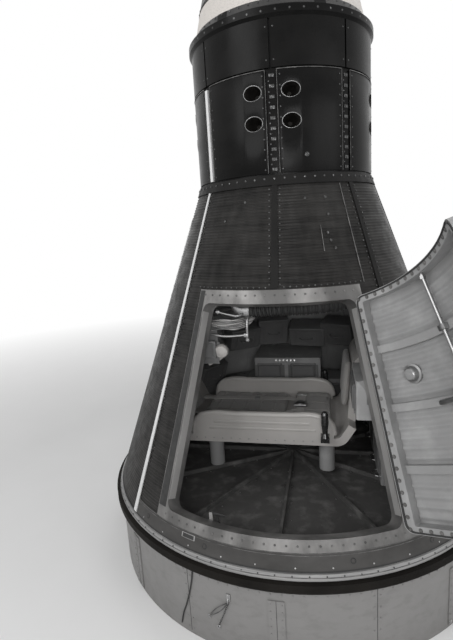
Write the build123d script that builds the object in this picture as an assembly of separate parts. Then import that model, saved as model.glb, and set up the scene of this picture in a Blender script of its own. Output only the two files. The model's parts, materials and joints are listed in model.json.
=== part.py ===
from build123d import *
from math import cos, degrees, radians, sin, sqrt, tan
import os

# One-man ballistic space capsule standing on its adapter ring, in millimetres.
# Z is up, zero under the ring. The side hatch faces -Y. An azimuth of 0 is -Y and grows towards +X.
# The occupant lies on the back with the head to -X, so the window is on -X and the periscope door on +X.

# Outer form: the cylinder on top and the cone that widens down from it
CONE_HALF_ANGLE = 20.0
CYLINDER_R = 406.4
CYLINDER_H = 610.0
CONE_H = 1426.0
CONE_Z = 350.0
WALL_T = 60.0
SEAM_STEP = 45.0

# Heat shield, as far past the cone's foot as its overhang
SHIELD_OVERHANG = 20.6
SHIELD_SPHERE_R = 2032.0
SHIELD_T = 45.0
SHIELD_RIM_H = 50.0
SHIELD_SHOULDER = 20.0

# Adapter ring under the shield
RING_INSET = 24.0
RING_T = 22.0
RING_FLANGE_W = 62.0
RING_FLANGE_T = 12.0
RING_BOLT_INSET = 40.0
RING_BOLTS = 16
RING_BOLT_R = 7.0
STIFFENER_Z = 146.0
STIFFENER_W = 22.0
STIFFENER_H = 24.0
SPLICE_W = 60.0
SPLICE_T = 4.0
SPLICE_TOP = 36.0

# Rings and bands of the body
BASE_RING_W = 85.4
BASE_RING_H = 26.0
BASE_RING_PROUD = 7.0
BASE_BAND_H = 18.0
TOP_RING_H = 40.0
TOP_RING_PROUD = 3.0

# Corrugation of the cone's shingles: one groove here stands for several fine beads
GROOVE_PITCH = 84.0
GROOVE_W = 26.0
GROOVE_DEPTH = 3.0
GROOVE_MARGIN = 14.0

# Battens over the joints of the cone's panels, and the light strip down the left front joint
BATTEN_W = 26.0
BATTEN_T = 3.0
SIDE_STRIP_W = 19.0
SIDE_STRIP_T = 4.0
STRIP_END = 2.0

# Opening of the hatch and the light frame round it
HATCH_AZ = 31.0
HATCH_Z0 = 479.0
HATCH_H = 800.0
HATCH_CORNER_R = 35.0
FRAME_AZ = 34.4
FRAME_LOW_W = 41.0
FRAME_TOP_W = 52.0
FRAME_PROUD = 2.0

# Hatch with its stiffening and handle
HATCH_GAP = 5.0
HATCH_SKIN_T = 12.0
HATCH_RIB_W = 26.0
HATCH_RIB_D = 18.0
HATCH_BEAMS = 3
HATCH_OPEN_DEG = 115.0
HANDLE_L = 180.0
HANDLE_R = 9.0
HANDLE_DROP = 60.0

# Hinges of the hatch and of the periscope door
HINGE_ASIDE = 14.0
HINGE_LIFT = 16.0
HINGE_PIN_R = 4.0
HINGE_KNUCKLE_R = 8.0
HINGE_LEAF_T = 4.0
HINGE_LEAF_W = 46.0
HINGE_ARM_FOOT = 9.0
HINGE_LEN = 120.0
HINGE_SPOTS = (620.0, 1120.0)
KNUCKLE_GAP = 1.0

# Window of the left side: centre azimuth, drop from the wall's head, height, half widths at its foot and head
WINDOW_AZ = -90.0
WINDOW_DROP = 116.0
WINDOW_H = 470.0
WINDOW_FOOT_HALF = 140.0
WINDOW_HEAD_HALF = 92.0
WINDOW_CORNER_R = 28.0
WINDOW_FRAME_W = 30.0
GLASS_T = 12.0
GLASS_DEPTH = 14.0

# Periscope door of the right side, its hinge, and the periscope's eye behind it
SCOPE_AZ = 90.0
SCOPE_Z0 = 760.0
SCOPE_H = 240.0
SCOPE_HALF_W = 120.0
SCOPE_CORNER_R = 20.0
SCOPE_DOOR_T = 16.0
SCOPE_RECESS = 44.0
SCOPE_LUG_W = 24.0
SCOPE_LUG_REACH = 30.0
SCOPE_FOOT_GAP = 15.0
SCOPE_FOOT_L = 12.0
SCOPE_FOOT_DEPTH = 8.0
SCOPE_HEAD_R = 55.0
SCOPE_HEAD_H = 20.0

# Cylinder panels and seams
PANEL_T = 8.0
TIER_Z = 397.0
TIER_GAP = 6.0
SEAM_HALF_W = 22.5
UPPER_SEAM_HALF_W = 4.0
SEAM_FOOT = 8.0
SEAM_END = 14.0
STRIP_T = 3.0
CORE_T = 26.0

# Thruster ports, four by four round the cylinder
PORT_QUARTERS = (0.0, 90.0, 180.0, 270.0)
PORT_AZ = 10.8
PORT_HEIGHTS = (202.0, 316.0)
PORT_R = 42.0
PORT_LIP = 6.0
PORT_LIP_PROUD = 3.0
NOZZLE_DEPTH = 62.0
NOZZLE_THROAT_R = 14.0
NOZZLE_T = 3.0

# Clamp ring on the cylinder's head
CLAMP_H = 36.0
CLAMP_PROUD = 11.0
TOWER_BOLT_INSET = 1.4
TOWER_BOLTS = 6
TOWER_BOLT_R = 4.0
TOWER_BOLT_DEPTH = 16.0

# Antenna fairing above the cylinder
FAIRING_STEP = 14.4
FAIRING_TOP_R = 258.0
FAIRING_H = 560.0
FAIRING_T = 30.0
BAND_Z = 40.0
BAND_H = 96.0
SCANNER_AZ = (0.0, 90.0)
SCANNER_UP = 330.0
SCANNER_R = 34.0
SCANNER_PROUD = 16.0

# Nose and its flap
NOSE_T = 22.0
NOSE_RIM_W = 18.0
FLAP_T = 8.0
FLAP_LIFT = 9.0
FLAP_PIN_R = 3.0
FLAP_PIN_Y = 130.0
FLAP_LUG_W = 30.0

# Bulkheads
FLOOR_T = 14.0
FLOOR_RIBS = 6
FLOOR_RIB_W = 12.0
FLOOR_RIB_H = 20.0
FLOOR_RIB_END = 84.0
BULKHEAD_DROP = 46.0
BULKHEAD_T = 20.0

# Couch: heights over its back, places along X
COUCH_T = 38.0
COUCH_BEND = 50.0
COUCH_HALF_W = 275.0
LEG_HALF_W = 190.0
COUCH_BACK_Z = 560.0
COUCH_HEAD_X = -545.0
COUCH_HIP_X = 250.0
HEAD_REST_RUN = 55.0
HEAD_REST_RISE = 130.0
HIP_RUN = 50.0
HIP_RISE = 80.0
KNEE_X = 330.0
KNEE_RISE = 390.0
CALF_X = 500.0
CALF_RISE = 375.0
FOOT_RUN = 20.0
FOOT_RISE = 85.0
CHEEK_H = 130.0
CHEEK_T = 28.0
CHEEK_X0 = -470.0
CHEEK_X1 = 215.0
CHEEK_CORNER_R = 78.0
COUCH_LEG_X = (-380.0, 180.0)
COUCH_LEG_Y = 190.0
COUCH_LEG_R = 38.0

# Pads on the couch: first and last place along X, thickness
PADS = ((-480.0, -20.0, 39.7), (0.0, 212.0, 44.7))
PAD_CORNER_R = 40.0

# Hand controllers beside the couch: half width of the arm, its reach from the cheek, and the grip
CONTROL_X = 175.0
CONTROL_ARM_HALF = 20.0
CONTROL_ARM_REACH = 62.0
CONTROL_ARM_T = 20.0
CONTROL_ARM_UP = 25.0
GRIP_ASIDE = 40.0
GRIP_FOOT_R = 20.0
GRIP_NECK_R = 12.0
GRIP_R = 17.0
GRIP_H = 122.0

# Instrument panel over the occupant: its middle lies a drop under the hatch's head
PANEL_X = 40.0
PANEL_DROP = 19.0
PANEL_TILT = 18.0
PANEL_HALF_W = 330.0
PANEL_L = 420.0
PANEL_CORNER_R = 40.0
PANEL_BOARD_T = 10.0
CASE_D = 90.0
CASE_INSET = 40.0
CASE_EDGE_R = 10.0
BRACKET_RISE = 52.0
BRACKET_T = 16.0
BRACKET_W = 120.0
SCREEN_Y = -60.0
SCREEN_R = 105.0
SCREEN_TUBE_OUT = 70.0
DIAL_H = 8.0

# Clearances
SEAT = 0.3
RUN = 0.1
MOVE = 5.0
BEYOND = 80.0

SLOPE = tan(radians(CONE_HALF_ANGLE))
COS_HALF = cos(radians(CONE_HALF_ANGLE))
SIN_HALF = sin(radians(CONE_HALF_ANGLE))
CONE_FOOT_R = CYLINDER_R + CONE_H * SLOPE
SHIELD_R = CONE_FOOT_R + SHIELD_OVERHANG
RING_R = SHIELD_R - RING_INSET
FLOOR_R = CONE_FOOT_R - BASE_RING_W
FAIRING_BASE_R = CYLINDER_R - FAIRING_STEP
CYLINDER_Z = CONE_Z + CONE_H
CLAMP_Z = CYLINDER_Z + CYLINDER_H - CLAMP_H
FAIRING_Z = CYLINDER_Z + CYLINDER_H
HATCH_Z1 = HATCH_Z0 + HATCH_H
FRAME_Z0 = HATCH_Z0 - FRAME_LOW_W
FRAME_Z1 = HATCH_Z1 + FRAME_TOP_W
WALL_Z0 = CONE_Z + BASE_RING_H
WALL_Z1 = CYLINDER_Z - TOP_RING_H
WINDOW_Z0 = WALL_Z1 - WINDOW_DROP - WINDOW_H
BULKHEAD_Z = WALL_Z1 - BULKHEAD_DROP
PANEL_Z = HATCH_Z1 - PANEL_DROP
BRACKET_Z = PANEL_Z + BRACKET_RISE
CORE_R = CYLINDER_R - PANEL_T
SPHERE_Z = CONE_Z - SHIELD_RIM_H + sqrt(SHIELD_SPHERE_R**2 - (SHIELD_R - SHIELD_SHOULDER) ** 2)
DECK_Z = CONE_Z + FLOOR_T + FLOOR_RIB_H + SEAT
WHOLE_TURN = 360.0
SEAMS = int(WHOLE_TURN / SEAM_STEP)


def cone_r(z):
    """Outer radius of the cone at height z."""
    return CYLINDER_R + (CYLINDER_Z - z) * SLOPE


def below_skin(z, depth):
    """(r, z) of the point lying depth under the cone's skin, square to it, from the skin's height z."""
    return cone_r(z) - depth * COS_HALF, z - depth * SIN_HALF


def inner_r(z, extra=0.0):
    """Radius of the wall's inner face at height z, less extra."""
    return cone_r(z) - (WALL_T + extra) / COS_HALF


def sphere_z(r, offset=0.0):
    """Height of the shield's sphere at radius r, grown by offset."""
    return SPHERE_Z - sqrt((SHIELD_SPHERE_R + offset) ** 2 - r * r)


def at(az, r, z):
    """Point at an azimuth, a radius and a height."""
    return (r * sin(radians(az)), -r * cos(radians(az)), z)


def turned(outline, az0=0.0, az1=WHOLE_TURN):
    """Solid of revolution of a closed (r, z) outline between two azimuths."""
    face = make_face(Polyline(*[(r, 0, z) for r, z in outline], close=True))
    return Rot(0, 0, az0 - 90) * revolve(face, Axis.Z, az1 - az0)


def skin_plane(az, z, lift=0.0):
    """Plane on the cone's skin: x to the right round the body, y up the slope, z outwards."""
    a = radians(az)
    normal = Vector(COS_HALF * sin(a), -COS_HALF * cos(a), SIN_HALF)
    return Plane(origin=Vector(*at(az, cone_r(z), z)) + normal * lift, x_dir=(cos(a), sin(a), 0), z_dir=normal)


def cylinder_plane(az, r, z):
    """Plane square to a radius: x to the right, y up, z outwards."""
    a = radians(az)
    return Plane(origin=at(az, r, z), x_dir=(cos(a), sin(a), 0), z_dir=(sin(a), -cos(a), 0))


def block(x0, x1, y0, y1, z0, z1):
    """Box between two corners."""
    return Pos((x0 + x1) / 2, (y0 + y1) / 2, (z0 + z1) / 2) * Box(x1 - x0, y1 - y0, z1 - z0)


def tube_along(points, radius, bend):
    """Round tube or bar along straight runs joined by arcs."""
    path = FilletPolyline(*points, radius=bend) if len(points) > 2 else Line(*points)
    start = Plane(origin=path @ 0, z_dir=path % 0)
    return sweep(start * Circle(radius), path=path)


def grooved(z0, z1):
    """(r, z) points of the corrugated skin from z0 up to z1."""
    length = z1 - z0 - 2 * GROOVE_MARGIN
    count = max(int(length // GROOVE_PITCH), 0)
    points = [below_skin(z0, 0)]
    for i in range(count):
        middle = z0 + GROOVE_MARGIN + (i + 0.5) * length / count
        points.append(below_skin(middle - GROOVE_W / 2, 0))
        points.append(below_skin(middle, GROOVE_DEPTH))
        points.append(below_skin(middle + GROOVE_W / 2, 0))
    points.append(below_skin(z1, 0))
    return points


def cone_panel(az0, az1, z0, z1, plain=False):
    """Panel of the cone as thick as its whole wall, with level edges."""
    skin = [below_skin(z0, 0), below_skin(z1, 0)] if plain else grooved(z0, z1)
    return turned(skin + [(inner_r(z1), z1), (inner_r(z0), z0)], az0, az1)


def hatch_block(gap, depth0, depth1):
    """The hatch's form between two depths under the skin, its edges square to the skin and gap smaller."""
    side = HATCH_AZ - degrees(gap / inner_r(HATCH_Z1))
    z0, z1 = HATCH_Z0 + gap * COS_HALF, HATCH_Z1 - gap * COS_HALF
    outline = [below_skin(z0, depth0), below_skin(z1, depth0), below_skin(z1, depth1), below_skin(z0, depth1)]
    body = turned(outline, -side, side)
    corners = body.edges().filter_by(GeomType.LINE).sort_by(SortBy.LENGTH)[:4]
    return fillet(corners, max(HATCH_CORNER_R - gap, MOVE))


# Base of the capsule


def heat_shield():
    """Dished shield with a rounded shoulder and an upright rim, hollow over the dish."""
    rim_z = CONE_Z - SHIELD_RIM_H
    r1 = SHIELD_R - SHIELD_SHOULDER
    outer_mid = r1 / 2
    inner_r1 = SHIELD_R - SHIELD_T
    lower = ThreePointArc((0, 0, sphere_z(0)), (outer_mid, 0, sphere_z(outer_mid)), (r1, 0, sphere_z(r1)))
    shoulder = TangentArc((r1, 0, sphere_z(r1)), (SHIELD_R, 0, rim_z + SHIELD_SHOULDER), tangent=lower % 1)
    rim_foot = (inner_r1, 0, sphere_z(inner_r1, -SHIELD_T))
    rim = Polyline(shoulder @ 1, (SHIELD_R, 0, CONE_Z), (inner_r1, 0, CONE_Z), rim_foot)
    hollow = Polyline(
        rim @ 1,
        (inner_r1 / 2, 0, sphere_z(inner_r1 / 2, -SHIELD_T)),
        (0, 0, sphere_z(0, -SHIELD_T)),
    )
    axis = Line(hollow @ 1, lower @ 0)
    return revolve(make_face([lower, shoulder, rim, hollow, axis]), Axis.Z)


def adapter_ring():
    """Wall of the ring that the shield sits in."""
    inner = RING_R - RING_T
    outline = [(RING_R, RING_FLANGE_T), (RING_R, sphere_z(RING_R, SEAT))]
    return turned(outline + [(inner, sphere_z(inner, SEAT)), (inner, RING_FLANGE_T)])


def adapter_flange():
    """Foot of the adapter ring, drilled all round."""
    inner = RING_R - RING_FLANGE_W
    flange = turned([(RING_R, 0), (RING_R, RING_FLANGE_T), (inner, RING_FLANGE_T), (inner, 0)])
    spots = PolarLocations(RING_R - RING_BOLT_INSET, RING_BOLTS)
    return flange - [spot * Cylinder(RING_BOLT_R, 4 * RING_FLANGE_T) for spot in spots]


def adapter_stiffener():
    """Stiffening ring inside the adapter ring's wall."""
    r1 = RING_R - RING_T
    r0 = r1 - STIFFENER_W
    z1 = STIFFENER_Z + STIFFENER_H
    return turned([(r1, STIFFENER_Z), (r1, z1), (r0, z1), (r0, STIFFENER_Z)])


def adapter_splices():
    """Splice plates over the ring's upright joints."""
    z0, z1 = RING_FLANGE_T, sphere_z(RING_R) - SPLICE_TOP
    half = degrees(SPLICE_W / 2 / RING_R)
    r0 = RING_R + SEAT
    outline = [(r0, z0), (r0 + SPLICE_T, z0), (r0 + SPLICE_T, z1), (r0, z1)]
    return Compound([turned(outline, i * SEAM_STEP - half, i * SEAM_STEP + half) for i in range(SEAMS)])


def base_ring():
    """Ring that closes the cone's base, with a band standing proud of it."""
    z1 = CONE_Z + BASE_RING_H
    band_z = z1 - BASE_BAND_H
    return turned(
        [
            (FLOOR_R, CONE_Z),
            (cone_r(CONE_Z), CONE_Z),
            (cone_r(band_z), band_z),
            (cone_r(band_z) + BASE_RING_PROUD, band_z),
            (cone_r(z1) + BASE_RING_PROUD, z1),
            (FLOOR_R, z1),
        ]
    )


# Walls of the cone: name, first azimuth, last azimuth, lower height, upper height
CONE_PANELS = (
    ("lintel_left", -SEAM_STEP, 0.0, FRAME_Z1, WALL_Z1),
    ("lintel_right", 0.0, SEAM_STEP, FRAME_Z1, WALL_Z1),
    ("jamb_left", -SEAM_STEP, -FRAME_AZ, FRAME_Z0, FRAME_Z1),
    ("jamb_right", FRAME_AZ, SEAM_STEP, FRAME_Z0, FRAME_Z1),
    ("side_right_front", SEAM_STEP, 2 * SEAM_STEP, WALL_Z0, WALL_Z1),
    ("side_right_rear", 2 * SEAM_STEP, 3 * SEAM_STEP, WALL_Z0, WALL_Z1),
    ("rear_right", 3 * SEAM_STEP, 4 * SEAM_STEP, WALL_Z0, WALL_Z1),
    ("rear_left", -4 * SEAM_STEP, -3 * SEAM_STEP, WALL_Z0, WALL_Z1),
    ("side_left_rear", -3 * SEAM_STEP, -2 * SEAM_STEP, WALL_Z0, WALL_Z1),
    ("side_left_front", -2 * SEAM_STEP, -SEAM_STEP, WALL_Z0, WALL_Z1),
)


def window_prism(grow, depth0, depth1):
    """Trapezoid of the window, grown all round, between two depths under the skin."""
    plane = skin_plane(WINDOW_AZ, WINDOW_Z0 + WINDOW_H / 2, -depth1)
    half_h = WINDOW_H / 2 / COS_HALF + grow
    foot, head = WINDOW_FOOT_HALF + grow, WINDOW_HEAD_HALF + grow
    face = make_face(Polyline((-foot, -half_h), (foot, -half_h), (head, half_h), (-head, half_h), close=True))
    face = fillet(face.vertices(), WINDOW_CORNER_R + grow)
    return plane * extrude(face, depth1 - depth0)


def scope_prism(grow, depth0, depth1):
    """Rounded rectangle of the periscope door between two depths under the skin."""
    plane = skin_plane(SCOPE_AZ, SCOPE_Z0 + SCOPE_H / 2, -depth1)
    face = RectangleRounded(2 * (SCOPE_HALF_W + grow), SCOPE_H + 2 * grow, SCOPE_CORNER_R + grow)
    return plane * extrude(face, depth1 - depth0)


def wall_panels():
    """Each panel of the cone's wall, with the window and the periscope recess cut in it."""
    window = window_prism(WINDOW_FRAME_W, -BEYOND, WALL_T + BEYOND)
    recess = scope_prism(MOVE, -BEYOND, SCOPE_RECESS)
    for name, az0, az1, z0, z1 in CONE_PANELS:
        panel = cone_panel(az0, az1, z0, z1)
        if name.startswith("side_left"):
            panel = panel - window
        if name.startswith("side_right"):
            panel = panel - recess
        yield name, panel


def sill():
    """Plain wall under the hatch."""
    return cone_panel(-SEAM_STEP, SEAM_STEP, WALL_Z0, FRAME_Z0, plain=True)


def hatch_frame():
    """Light frame round the hatch opening, a little proud of the skin."""
    ring = turned(
        [
            below_skin(FRAME_Z0, -FRAME_PROUD),
            below_skin(FRAME_Z1, -FRAME_PROUD),
            below_skin(FRAME_Z1, 0),
            (inner_r(FRAME_Z1), FRAME_Z1),
            (inner_r(FRAME_Z0), FRAME_Z0),
            below_skin(FRAME_Z0, 0),
        ],
        -FRAME_AZ,
        FRAME_AZ,
    )
    return ring - hatch_block(0, -BEYOND, WALL_T + BEYOND)


def top_ring():
    """Ring where the cone meets the cylinder."""
    return turned(
        [
            (cone_r(WALL_Z1) + TOP_RING_PROUD, WALL_Z1),
            (cone_r(CYLINDER_Z) + TOP_RING_PROUD, CYLINDER_Z),
            (inner_r(CYLINDER_Z), CYLINDER_Z),
            (inner_r(WALL_Z1), WALL_Z1),
        ]
    )


# Hatch: everything is drawn shut and then swung open about the hinge


def hinge_axis():
    """Axis of the hatch's hinges, along the right jamb and clear of the skin."""
    plane = skin_plane(HATCH_AZ, HATCH_Z0 + HATCH_H / 2)
    return Axis(plane.from_local_coords((HINGE_ASIDE, 0, HINGE_LIFT)), plane.y_dir)


def swung(shape):
    """A piece of the hatch, from shut to its open place at rest."""
    return shape.rotate(hinge_axis(), HATCH_OPEN_DEG)


def hatch_skin():
    """Outer corrugated plate of the hatch."""
    inside = [below_skin(HATCH_Z1, HATCH_SKIN_T), below_skin(HATCH_Z0, HATCH_SKIN_T)]
    plate = turned(grooved(HATCH_Z0, HATCH_Z1) + inside, -HATCH_AZ, HATCH_AZ)
    return plate & hatch_block(HATCH_GAP, -MOVE, HATCH_SKIN_T)


def hatch_edge():
    """Frame round the inside of the hatch, which seats on the opening's frame."""
    outer = hatch_block(HATCH_GAP, HATCH_SKIN_T, WALL_T - HATCH_GAP)
    return outer - hatch_block(HATCH_GAP + HATCH_RIB_W, 0, WALL_T + MOVE)


def hatch_beams():
    """Stiffening beams across the inside of the hatch."""
    side = HATCH_AZ - degrees((HATCH_GAP + HATCH_RIB_W + 2 * SEAT) / inner_r(HATCH_Z1))
    d0, d1 = HATCH_SKIN_T, HATCH_SKIN_T + HATCH_RIB_D
    beams = []
    for i in range(1, HATCH_BEAMS + 1):
        z = HATCH_Z0 + HATCH_H * i / (HATCH_BEAMS + 1)
        low, high = z - HATCH_RIB_W / 2, z + HATCH_RIB_W / 2
        outline = [below_skin(low, d0), below_skin(high, d0), below_skin(high, d1), below_skin(low, d1)]
        beams.append(turned(outline, -side, side))
    return Compound(beams)


def hatch_handle():
    """Grab handle across the middle beam."""
    plane = skin_plane(0, HATCH_Z0 + HATCH_H / 2, -HATCH_SKIN_T - HATCH_RIB_D)
    half, drop = HANDLE_L / 2, HANDLE_DROP
    bend_r = cone_r(HATCH_Z0 + HATCH_H / 2) / COS_HALF
    foot = -((half + HANDLE_R) ** 2) / (2 * bend_r) - SEAT
    points = [(-half, 0, foot), (-half, 0, -drop), (half, 0, -drop), (half, 0, foot)]
    return tube_along([plane.from_local_coords(p) for p in points], HANDLE_R, 3 * HANDLE_R)


def hinge_planes():
    return [skin_plane(HATCH_AZ, z) for z in HINGE_SPOTS]


def knuckle(plane, y0, y1, radius):
    """Cylinder about the hinge's axis between two places along it."""
    return plane * Pos(HINGE_ASIDE, (y0 + y1) / 2, HINGE_LIFT) * Rot(90, 0, 0) * Cylinder(radius, y1 - y0)


def hinge_arm(plane, outline, y0, y1):
    """Prism of an (x, z) outline between two places along the hinge."""
    face = Plane.XZ * make_face(Polyline(*outline, close=True))
    return plane * Pos(0, y1, 0) * extrude(face, y1 - y0, dir=(0, -1, 0))


def jamb_hinges():
    """Fixed leaves on the frame, with the pins."""
    third = HINGE_LEN / 6
    z0 = FRAME_PROUD + SEAT
    pieces = []
    for plane in hinge_planes():
        leaf = plane * block(MOVE, HINGE_LEAF_W, -HINGE_LEN / 2, HINGE_LEN / 2, 0, z0 + HINGE_LEAF_T)
        leaf = seated(leaf, HATCH_Z0, HATCH_Z1, z0)
        web = [(HINGE_ASIDE - HINGE_PIN_R, z0), (HINGE_ASIDE + HINGE_KNUCKLE_R, z0)]
        web += [(HINGE_ASIDE + HINGE_KNUCKLE_R, HINGE_LIFT), (HINGE_ASIDE - HINGE_PIN_R, HINGE_LIFT)]
        for y0, y1 in ((-HINGE_LEN / 2, -third - KNUCKLE_GAP), (third + KNUCKLE_GAP, HINGE_LEN / 2)):
            leaf = leaf + knuckle(plane, y0, y1, HINGE_KNUCKLE_R) + hinge_arm(plane, web, y0, y1)
        pieces.append(leaf + knuckle(plane, -HINGE_LEN / 2, HINGE_LEN / 2, HINGE_PIN_R))
    return Compound(pieces)


def hatch_hinges():
    """Moving leaves on the hatch, each with an arm to the pin."""
    third = HINGE_LEN / 6
    inner_x = -HATCH_GAP - HINGE_LEAF_T
    foot_x = inner_x - HINGE_ARM_FOOT
    arm = [
        (foot_x, SEAT),
        (inner_x, SEAT),
        (HINGE_ASIDE - MOVE, HINGE_LIFT - MOVE),
        (HINGE_ASIDE, HINGE_LIFT),
        (HINGE_ASIDE, HINGE_LIFT + HINGE_KNUCKLE_R),
        (HINGE_ASIDE - HINGE_KNUCKLE_R, HINGE_LIFT + MOVE),
        ((foot_x + inner_x) / 2, HINGE_LEAF_T + SEAT),
        (foot_x, HINGE_LEAF_T + SEAT),
    ]
    pieces = []
    for plane in hinge_planes():
        half, z1 = HINGE_LEN / 2, SEAT + HINGE_LEAF_T
        leaf = plane * block(inner_x - HINGE_LEAF_W, inner_x, -half, half, -HINGE_LEAF_T, z1)
        leaf = seated(leaf, HATCH_Z0, HATCH_Z1)
        leaf = leaf + hinge_arm(plane, arm, -third, third) + knuckle(plane, -third, third, HINGE_KNUCKLE_R)
        pieces.append(leaf - knuckle(plane, -HINGE_LEN, HINGE_LEN, HINGE_PIN_R + RUN))
    return Compound(pieces)


# Window and periscope door


def skin_shell(z0, z1, depth0, depth1):
    """Conical shell between two heights and two depths under the skin."""
    outer = [below_skin(z0, depth0), below_skin(z1, depth0)]
    return turned(outer + [below_skin(z1, depth1), below_skin(z0, depth1)])


def window_frame():
    """Frame of the side window, standing a little proud."""
    ring = window_prism(WINDOW_FRAME_W - SEAT, -BEYOND, WALL_T + BEYOND)
    ring = ring & skin_shell(WINDOW_Z0 - BEYOND, WINDOW_Z0 + WINDOW_H + BEYOND, -FRAME_PROUD, WALL_T)
    return ring - window_prism(0, -BEYOND, WALL_T + BEYOND)


def window_glass():
    """Outer pane, held in the frame's opening."""
    shell = skin_shell(WINDOW_Z0 - BEYOND, WINDOW_Z0 + WINDOW_H + BEYOND, GLASS_DEPTH, GLASS_DEPTH + GLASS_T)
    return window_prism(-SEAT, -BEYOND, WALL_T + BEYOND) & shell


def seated(shape, z0, z1, lift=SEAT):
    """A fitting cut to the cone's skin, a hair's breadth off it."""
    return shape - turned([(0, z0), below_skin(z0, -lift), below_skin(z1, -lift), (0, z1)])


def scope_axis():
    """Axis of the periscope door's hinge, along its lower edge."""
    plane = skin_plane(SCOPE_AZ, SCOPE_Z0)
    return Axis(plane.from_local_coords((0, -MOVE, HINGE_KNUCKLE_R)), plane.x_dir)


def scope_hinge_plane():
    return skin_plane(SCOPE_AZ, SCOPE_Z0)


def scope_door():
    """Flush door over the periscope's recess, with two lugs on its lower edge round the hinge pins."""
    shell = skin_shell(SCOPE_Z0 - BEYOND, SCOPE_Z0 + SCOPE_H + BEYOND, 0, SCOPE_DOOR_T)
    door = scope_prism(0, -BEYOND, BEYOND) & shell
    plane = scope_hinge_plane()
    for x in (-SCOPE_HALF_W / 2, SCOPE_HALF_W / 2):
        half = SCOPE_LUG_W / 2
        lug = block(x - half, x + half, -MOVE, SCOPE_LUG_REACH, -HINGE_LEAF_T, SEAT + HINGE_LEAF_T)
        lug = seated(plane * lug, SCOPE_Z0 - BEYOND, SCOPE_Z0 + BEYOND, 0)
        spot = plane * Pos(x, -MOVE, HINGE_KNUCKLE_R) * Rot(0, 90, 0)
        lug = lug + spot * Cylinder(HINGE_KNUCKLE_R - SEAT, SCOPE_LUG_W)
        door = door + (lug - spot * Cylinder(HINGE_PIN_R + RUN, 2 * SCOPE_LUG_W))
    return door


def scope_pins():
    """Pins of the periscope door's hinge, each with its bracket on the wall."""
    plane = scope_hinge_plane()
    pieces = []
    inside = SCOPE_LUG_W / 2 + KNUCKLE_GAP
    outside = inside + HINGE_LEAF_T
    ear_top = HINGE_KNUCKLE_R + HINGE_PIN_R
    for x in (-SCOPE_HALF_W / 2, SCOPE_HALF_W / 2):
        spot = plane * Pos(x, -MOVE, HINGE_KNUCKLE_R) * Rot(0, 90, 0)
        pin = spot * Cylinder(HINGE_PIN_R, 2 * outside + HINGE_LEAF_T)
        for x0, x1 in ((x - outside, x - inside), (x + inside, x + outside)):
            pin = pin + plane * block(x0, x1, -SCOPE_FOOT_GAP, 0, SEAT, ear_top)
        foot_y = -SCOPE_FOOT_GAP - SCOPE_FOOT_L
        foot = block(x - outside, x + outside, foot_y, -SCOPE_FOOT_GAP, -SCOPE_FOOT_DEPTH, SEAT + HINGE_LEAF_T)
        pieces.append(pin + seated(plane * foot, SCOPE_Z0 - BEYOND, SCOPE_Z0 + BEYOND))
    return Compound(pieces)


def scope_head():
    """Periscope's eye in its recess behind the door."""
    plane = skin_plane(SCOPE_AZ, SCOPE_Z0 + SCOPE_H / 2, -SCOPE_RECESS)
    return plane * Pos(0, 0, SCOPE_HEAD_H / 2) * Cylinder(SCOPE_HEAD_R, SCOPE_HEAD_H)


# Strips on the cone


def strip(az, z0, z1, half_w, thick):
    """Flat strip down the cone at an azimuth."""
    half = degrees(half_w / cone_r((z0 + z1) / 2))
    outline = [below_skin(z0, -SEAT), below_skin(z1, -SEAT), below_skin(z1, -thick), below_skin(z0, -thick)]
    return turned(outline, az - half, az + half)


def cone_battens():
    """Battens over the joints of the cone's panels."""
    window_low = WINDOW_Z0 - WINDOW_FRAME_W - MOVE
    window_high = WINDOW_Z0 + WINDOW_H + WINDOW_FRAME_W + MOVE
    scope_low = SCOPE_Z0 - 3 * SCOPE_LUG_W
    scope_high = SCOPE_Z0 + SCOPE_H + 2 * MOVE
    stretches = (
        (0.0, FRAME_Z1 + MOVE, WALL_Z1),
        (SEAM_STEP, WALL_Z0 + MOVE, WALL_Z1),
        (2 * SEAM_STEP, WALL_Z0 + MOVE, scope_low),
        (2 * SEAM_STEP, scope_high, WALL_Z1),
        (3 * SEAM_STEP, WALL_Z0 + MOVE, WALL_Z1),
        (4 * SEAM_STEP, WALL_Z0 + MOVE, WALL_Z1),
        (-3 * SEAM_STEP, WALL_Z0 + MOVE, WALL_Z1),
        (-2 * SEAM_STEP, WALL_Z0 + MOVE, window_low),
        (-2 * SEAM_STEP, window_high, WALL_Z1),
    )
    return Compound([strip(az, z0, z1 - STRIP_END, BATTEN_W / 2, BATTEN_T) for az, z0, z1 in stretches])


def side_strip():
    """Light strip down the left front joint, over the cylinder and the cone."""
    half = degrees(SIDE_STRIP_W / 2 / CYLINDER_R)
    r0, r1 = CORE_R + STRIP_T + SEAT, CYLINDER_R + SIDE_STRIP_T
    z0, z1 = CYLINDER_Z + SEAM_FOOT, CYLINDER_Z + TIER_Z - SEAM_END
    upper = turned([(r0, z0), (r1, z0), (r1, z1), (r0, z1)], -SEAM_STEP - half, -SEAM_STEP + half)
    lower = strip(-SEAM_STEP, WALL_Z0 + MOVE, WALL_Z1 - STRIP_END, SIDE_STRIP_W / 2, SIDE_STRIP_T)
    return Compound([upper, lower])


# Cylinder with its panels and thrusters


def port_planes(r):
    """Planes of all thruster ports at a radius of the cylinder."""
    return [
        cylinder_plane(quarter + side * PORT_AZ, r, CYLINDER_Z + height)
        for quarter in PORT_QUARTERS
        for side in (-1, 1)
        for height in PORT_HEIGHTS
    ]


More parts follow.
